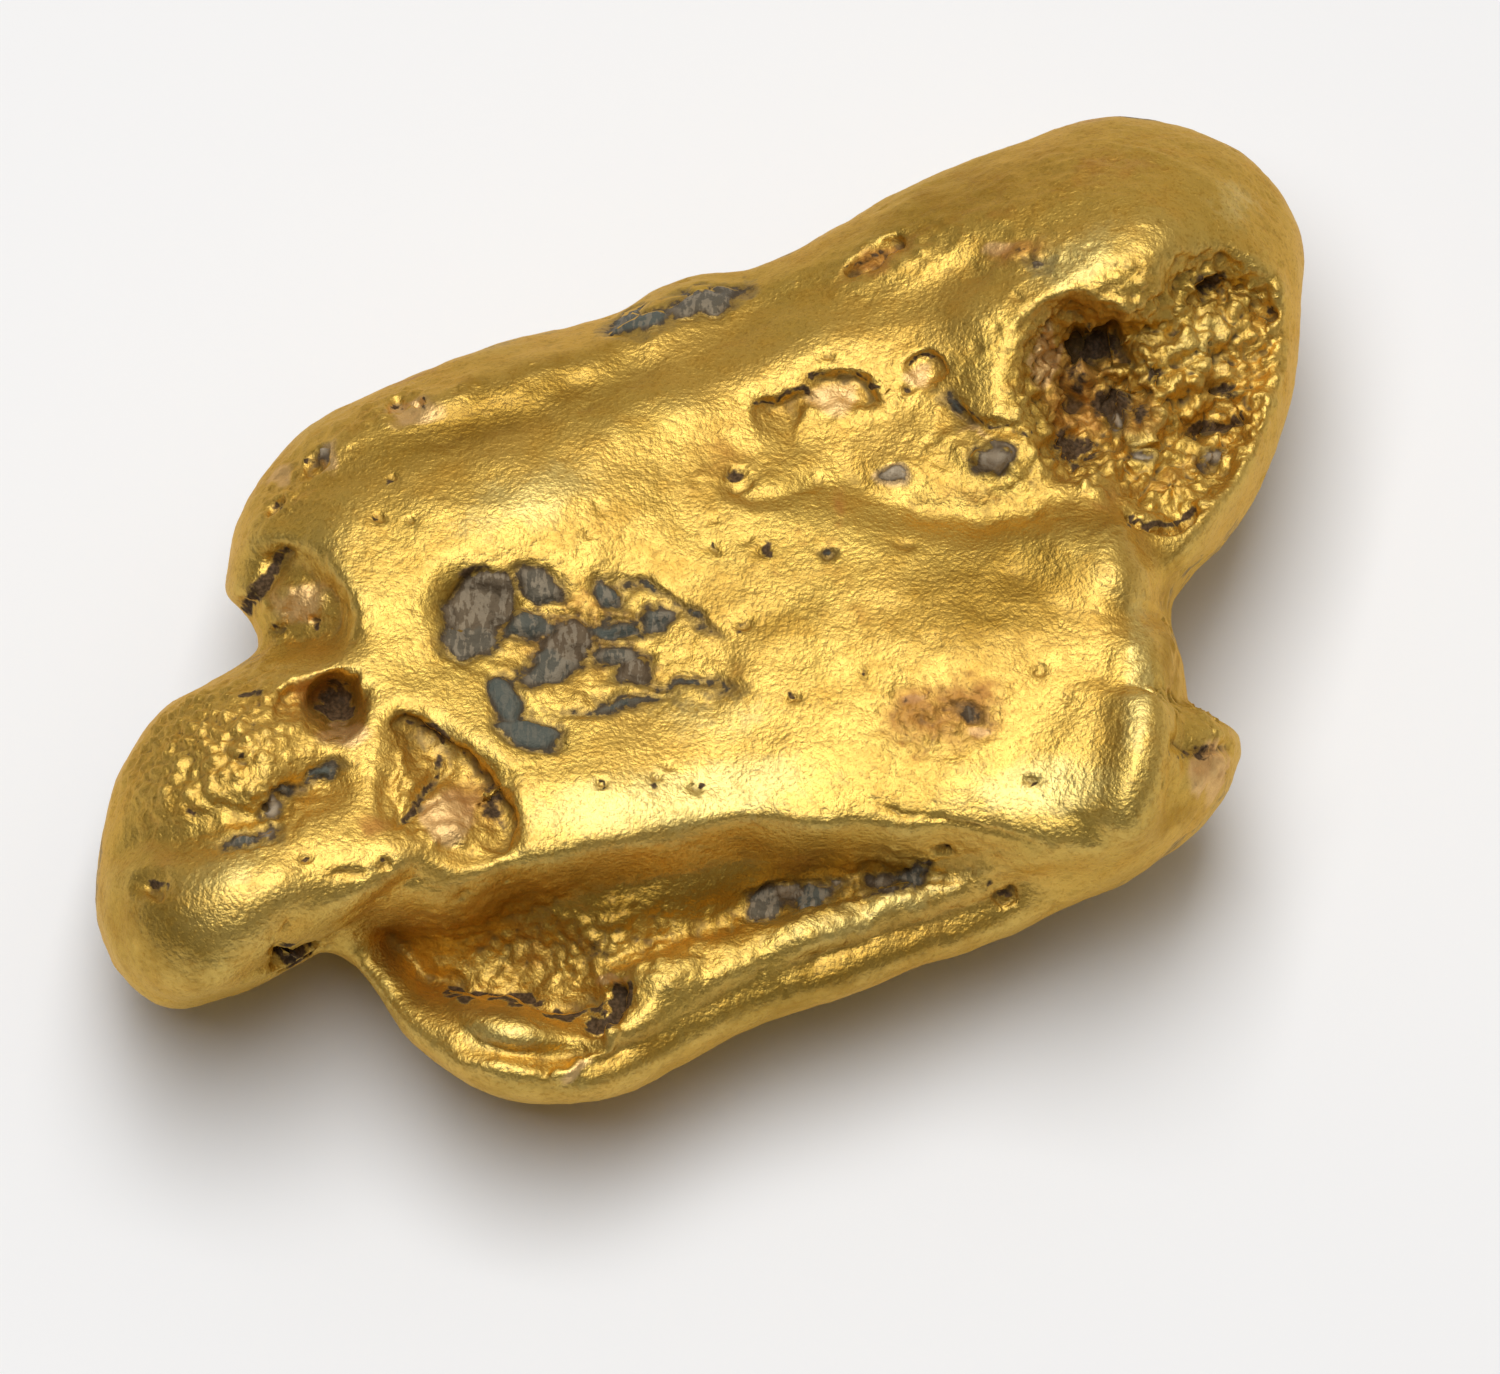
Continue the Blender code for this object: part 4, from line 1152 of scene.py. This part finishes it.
def gold_finish(colours):
    """Worn native gold with its stains, soil and mineral grains, and painted shade, highlights and
    reflections, from the fields on the mesh.
    """
    material = bpy.data.materials.new("native gold")
    material.use_nodes = True
    tree = material.node_tree
    shader = tree.nodes["Principled BSDF"]
    place = Socket(tree, tree.nodes.new("ShaderNodeTexCoord").outputs["Object"])

    def field(name):
        return place.node("ShaderNodeAttribute", {"attribute_name": name}, {}, "Fac")

    def cloud(size, detail=2.0, stretch=None):
        vector = place
        if stretch:
            vector = place.node("ShaderNodeMapping", {}, {"Vector": place, "Scale": stretch})
        values = {"Vector": vector, "Scale": 1 / (size * MM), "Detail": detail}
        return place.node("ShaderNodeTexNoise", {}, values)

    # noises, from the broadest to the finest
    broad = cloud(3.5, 3.0)
    mottle = cloud(0.9, 4.0)
    fleck = cloud(0.22, 3.0)
    dust = cloud(0.1, 2.0)
    streak = cloud(0.15, 2.0, stretch=(1.0, 0.3, 0.3))

    # the fields of the mesh, with their edges broken up by the noises
    crust = field("crust")
    # painted shade: how deep the skin lies in a fine crevice
    crevice_shade = (field("crevice_shade") + (fleck - 0.5) * 0.03).step(0.012, 0.085)
    # painted shade: how deep the skin lies in a broad hollow, for darker gold there
    hollow = (field("hollow") + (mottle - 0.5) * 0.1).step(0.03, 0.32)
    soil_and_shade = (field("soil_and_shade") + (fleck - 0.5) * 0.8 + (mottle - 0.5) * 0.4).step(0.36, 0.62)
    # the soil mask, with painted shade added in the crevices
    soil_and_shade = soil_and_shade.most(crevice_shade * (0.6 + crust * 0.3))
    stain = (field("stain") + (mottle - 0.5) * 0.9 + (fleck - 0.5) * 0.4).step(0.25, 0.85)
    # painted reflection: lighter pinkish gold on the smooth facets
    painted_reflection = (field("painted_reflection") + (mottle - 0.5) * 0.35).step(0.3, 0.6)
    grain = (field("grain") + (fleck - 0.5) * 0.35 + (mottle - 0.5) * 0.15).step(-0.03, 0.03)
    # painted shade: duller, more olive gold where the skin is shaded
    painted_shade = (field("painted_shade") + (mottle - 0.5) * 0.5 + (fleck - 0.5) * 0.3).step(0.1, 0.9)
    pepper = (dust + (mottle - 0.5) * 0.25).step(0.55, 0.66)
    # painted highlights: paler gold on convex edges and in the listed patches, less where shade is painted
    convex_highlight = field("hollow").step(-0.03, -0.22)
    painted_highlight = (field("painted_highlight") + (mottle - 0.5) * 0.6 + (fleck - 0.5) * 0.6).step(0.25, 0.75)
    painted_highlight = painted_highlight.most(convex_highlight * 0.3) * (1 - painted_shade * 0.85)
    tone = field("grain_tone")

    # the gold, then painted shade and painted highlights, painted shade in the hollows, painted reflections
    # on the facets, its stains, its soil with painted shade in the crevices, and the mineral grains over all
    skin = broad.step(0.35, 0.65).mix(colour(colours.gold), colour(colours.green_gold))
    skin = (mottle.step(0.45, 0.75) * 0.5).mix(skin, colour(colours.warm_gold))
    skin = (painted_shade * 0.85).mix(skin, colour(colours.painted_shade))
    skin = (painted_highlight * 0.85).mix(skin, colour(colours.highlight_gold))
    skin = (fleck.step(0.52, 0.72) * 0.4).mix(skin, colour(colours.shade))
    skin = (pepper * 0.4).mix(skin, colour(colours.deep_gold))
    # painted shade: darker gold in the broad hollows, less in the crystal crust
    skin = (hollow * (0.6 - crust * 0.45)).mix(skin, colour(colours.deep_gold))
    skin = (painted_reflection * 0.8).mix(skin, colour(colours.painted_reflection))
    skin = (stain * 0.7).mix(skin, colour(colours.stain))
    # soil colour, also laid as painted shade in the crevices
    soil_and_shade_colour = dust.step(0.35, 0.7).mix(colour(colours.soil_and_shade), colour(colours.soil_and_shade, 2.5))
    skin = soil_and_shade.mix(skin, soil_and_shade_colour)
    hatch = (streak + (dust - 0.5) * 0.3).step(0.47, 0.56)
    stone = tone.step(0.2, 0.6).mix(colour(colours.slate), colour(colours.umber))
    stone = tone.step(0.8, 0.95).mix(stone, colour(colours.chalk))
    stone = (hatch * (0.15 + tone.step(0.0, 0.4) * 0.45)).mix(stone, colour(colours.chalk, 0.65))
    rim = field("grain").step(0.12, 0.0)
    stone = (rim * 0.8).mix(stone, colour(colours.soil_and_shade))
    ring = (field("grain") + (fleck - 0.5) * 0.3 + (mottle - 0.5) * 0.2).step(-0.2, -0.02)
    skin = (ring * 0.6).mix(skin, colour(colours.soil_and_shade, 1.6))
    skin = grain.mix(skin, stone)

    links = tree.links
    links.new(skin.output, shader.inputs["Base Color"])
    metal = 1 - (grain * 0.92).most(soil_and_shade * 0.8).most(stain * 0.3).most(ring * 0.5)
    links.new(metal.output, shader.inputs["Metallic"])
    rough = 0.42 + mottle * 0.16 + (fleck - 0.5) * 0.2 + crust * 0.06
    rough = rough + stain * 0.08 + soil_and_shade * 0.3 + grain * 0.12 + painted_reflection * 0.05
    links.new(rough.output, shader.inputs["Roughness"])
    coat = metal * (0.15 + painted_highlight * 0.2)
    links.new(coat.output, shader.inputs["Coat Weight"])
    shader.inputs["Coat Roughness"].default_value = 0.3
    shader.inputs["Specular Tint"].default_value = colour(EDGE_TINT)
    relief = (fleck - 0.5) * 0.7 + (dust - 0.5) * 0.6 + (mottle - 0.5) * 0.3 + (streak - 0.5) * grain * 0.6
    heights = {"Height": relief, "Distance": 0.05 * MM, "Strength": 1.0}
    bump = place.node("ShaderNodeBump", {}, heights, "Normal")
    links.new(bump.output, shader.inputs["Normal"])
    return material


class NuggetSizes(bpy.types.PropertyGroup):
    """Sizes of the nugget's skin, in millimetres."""

    step: FloatProperty(name="Skin step", description="Step of the dense skin, mm", default=0.095, min=0.06)
    triangles: IntProperty(name="Triangles", description="Most triangles in the skin", default=190000)
    worn: FloatProperty(name="Wear", description="Height of the river-worn unevenness, mm", default=0.04)
    crystal: FloatProperty(name="Crystal", description="Size of the crystals in the hollow, mm", default=0.52)
    grain: FloatProperty(name="Grain", description="Size of the fine crystal grain, mm", default=0.34)
    pit: FloatProperty(name="Pit", description="Radius of the small scattered pits, mm", default=0.11)
    pit_count: IntProperty(name="Pits", description="Number of small scattered pits", default=240)


def tint(name, description, values):
    """A property that holds a colour."""
    return FloatVectorProperty(
        name=name, description=description, default=values, subtype="COLOR", size=3, min=0, max=1
    )


class NuggetColours(bpy.types.PropertyGroup):
    """Colours of the gold, its stains and its mineral grains, and of its painted shade, highlights and
    reflections.
    """

    gold: tint("Gold", "Clean worn gold", (0.7, 0.455, 0.1))
    # painted highlight: the paler gold laid where highlights fall
    highlight_gold: tint("Rubbed gold", "Paler gold where the skin is rubbed bright", (0.76, 0.6, 0.2))
    green_gold: tint("Green gold", "Gold with more silver in it", (0.63, 0.425, 0.09))
    warm_gold: tint("Warm gold", "Redder gold", (0.68, 0.39, 0.06))
    shade: tint("Shade", "Flecks of darker gold", (0.46, 0.29, 0.05))
    # painted shade: the olive gold laid where the skin is shaded
    painted_shade: tint("Dull gold", "Olive gold where the skin is tarnished", (0.35, 0.2, 0.024))
    # painted shade in the broad hollows, and the darker specks
    deep_gold: tint("Deep gold", "Gold in the hollows", (0.4, 0.21, 0.025))
    # painted reflection on the smooth facets
    painted_reflection: tint("Peach facet", "Smooth facets with a thin pinkish film", (0.84, 0.57, 0.26))
    stain: tint("Iron stain", "Orange-brown iron stain", (0.42, 0.17, 0.035))
    # soil in pits and cracks, and painted shade in the crevices
    soil_and_shade: tint("Soil", "Dark soil left in pits and cracks", (0.046, 0.028, 0.015))
    slate: tint("Slate grain", "Greenish grey mineral grains", (0.08, 0.096, 0.086))
    umber: tint("Umber grain", "Brown-grey mineral grains", (0.125, 0.088, 0.054))
    chalk: tint("Chalk grain", "Pale mineral specks", (0.46, 0.38, 0.27))


class NuggetStage(bpy.types.PropertyGroup):
    """Light and camera of the stage."""

    key_power: FloatProperty(name="Key light", description="Power of the soft box, W", default=0.9)
    fill: FloatProperty(name="Fill", description="Brightness of the surroundings overhead", default=0.43)
    dusk: FloatProperty(name="Dusk", description="Brightness at floor level", default=0.03)
    floor: tint("Floor", "Pale floor", (0.88, 0.89, 0.912))


class NUGGET_OT_skin(bpy.types.Operator):
    """Make the nugget's worn gold skin over its solid"""

    bl_idname = "nugget.skin"
    bl_label = "Nugget"

    def execute(self, context):
        nugget = bpy.data.objects.new("nugget_skin", nugget_mesh(context.scene.nugget_sizes))
        nugget.data.materials.append(gold_finish(context.scene.nugget_colours))
        context.scene.collection.objects.link(nugget)
        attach(nugget, "root")
        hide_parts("nugget")
        return {"FINISHED"}


def floor_finish(tone):
    material = bpy.data.materials.new("pale floor")
    material.use_nodes = True
    shader = material.node_tree.nodes["Principled BSDF"]
    shader.inputs["Base Color"].default_value = colour(tone)
    shader.inputs["Roughness"].default_value = 0.9
    shader.inputs["Specular IOR Level"].default_value = 0.2
    return material


def aimed(thing, target):
    thing.rotation_euler = (Vector(target) - thing.location).to_track_quat("-Z", "Y").to_euler()


def make_floor(tone):
    data = bpy.data.meshes.new("floor")
    corners = [(-3, -3, 0), (3, -3, 0), (3, 3, 0), (-3, 3, 0)]
    data.from_pydata(corners, [], [(0, 1, 2, 3)])
    data.materials.append(floor_finish(tone))
    floor = bpy.data.objects.new("floor", data)
    bpy.context.scene.collection.objects.link(floor)
    return floor


def make_key_light(power):
    data = bpy.data.lights.new("soft box", "AREA")
    data.shape = "RECTANGLE"
    data.size, data.size_y = KEY_SIZE
    data.energy = power
    data.color = KEY_COLOUR
    light = bpy.data.objects.new("soft box", data)
    light.location = KEY_PLACE
    aimed(light, (0, 0, 0))
    bpy.context.scene.collection.objects.link(light)


def make_world(fill, dusk):
    """Surroundings that are brighter overhead and behind the nugget than in front of it."""
    world = bpy.data.worlds.new("studio")
    world.use_nodes = True
    bpy.context.scene.world = world
    tree = world.node_tree
    direction = Socket(tree, tree.nodes.new("ShaderNodeTexCoord").outputs["Generated"])
    upwards = {"operation": "DOT_PRODUCT"}
    height = direction.node("ShaderNodeVectorMath", upwards, {0: direction, 1: BRIGHT_SIDE}, "Value")
    share = height.step(-0.05, 0.95)
    shade = share.mix(colour(WALL_COLOUR, dusk), colour(WALL_COLOUR, fill))
    tree.links.new(shade.output, tree.nodes["Background"].inputs["Color"])


def make_camera():
    data = bpy.data.cameras.new("camera")
    data.lens = LENS
    data.sensor_width = SENSOR
    data.clip_start = 0.01
    data.clip_end = 10
    camera = bpy.data.objects.new("camera", data)
    distance = VIEW_WIDTH * LENS / SENSOR
    direction = Vector((0, -math.sin(FACE_TIP), math.cos(FACE_TIP)))
    upwards = Vector((0, math.cos(FACE_TIP), math.sin(FACE_TIP)))
    target = (FACE_ORIGIN + Vector((VIEW_CENTRE[0], 0, 0)) + upwards * VIEW_CENTRE[1]) * MM
    camera.location = target + direction * distance * MM
    aimed(camera, target)
    bpy.context.scene.collection.objects.link(camera)
    bpy.context.scene.camera = camera


class NUGGET_OT_stage(bpy.types.Operator):
    """Set up the pale floor, the soft light and the camera"""

    bl_idname = "nugget.stage"
    bl_label = "Stage"

    def execute(self, context):
        settings = context.scene.nugget_stage
        floor = make_floor(settings.floor)
        make_key_light(settings.key_power)
        make_world(settings.fill, settings.dusk)
        make_camera()
        context.scene.view_settings.view_transform = "Standard"
        return {"FINISHED"}


class NUGGET_PT_panel(bpy.types.Panel):
    """Sizes, colours and light of the gold nugget"""

    bl_idname = "NUGGET_PT_panel"
    bl_label = "Gold nugget"
    bl_space_type = "VIEW_3D"
    bl_region_type = "UI"
    bl_category = "Nugget"

    def draw(self, context):
        for group in (context.scene.nugget_sizes, context.scene.nugget_colours, context.scene.nugget_stage):
            box = self.layout.box()
            for name in group.bl_rna.properties.keys():
                if name not in ("rna_type", "name"):
                    box.prop(group, name)
        self.layout.operator(NUGGET_OT_skin.bl_idname)
        self.layout.operator(NUGGET_OT_stage.bl_idname)


CLASSES = (NuggetSizes, NuggetColours, NuggetStage, NUGGET_OT_skin, NUGGET_OT_stage, NUGGET_PT_panel)


def register():
    for item in CLASSES:
        bpy.utils.register_class(item)
    bpy.types.Scene.nugget_sizes = PointerProperty(type=NuggetSizes)
    bpy.types.Scene.nugget_colours = PointerProperty(type=NuggetColours)
    bpy.types.Scene.nugget_stage = PointerProperty(type=NuggetStage)


def unregister():
    del bpy.types.Scene.nugget_stage
    del bpy.types.Scene.nugget_colours
    del bpy.types.Scene.nugget_sizes
    for item in reversed(CLASSES):
        bpy.utils.unregister_class(item)


def main():
    register()
    bpy.ops.nugget.skin()
    bpy.ops.nugget.stage()


if __name__ == "__main__":
    main()
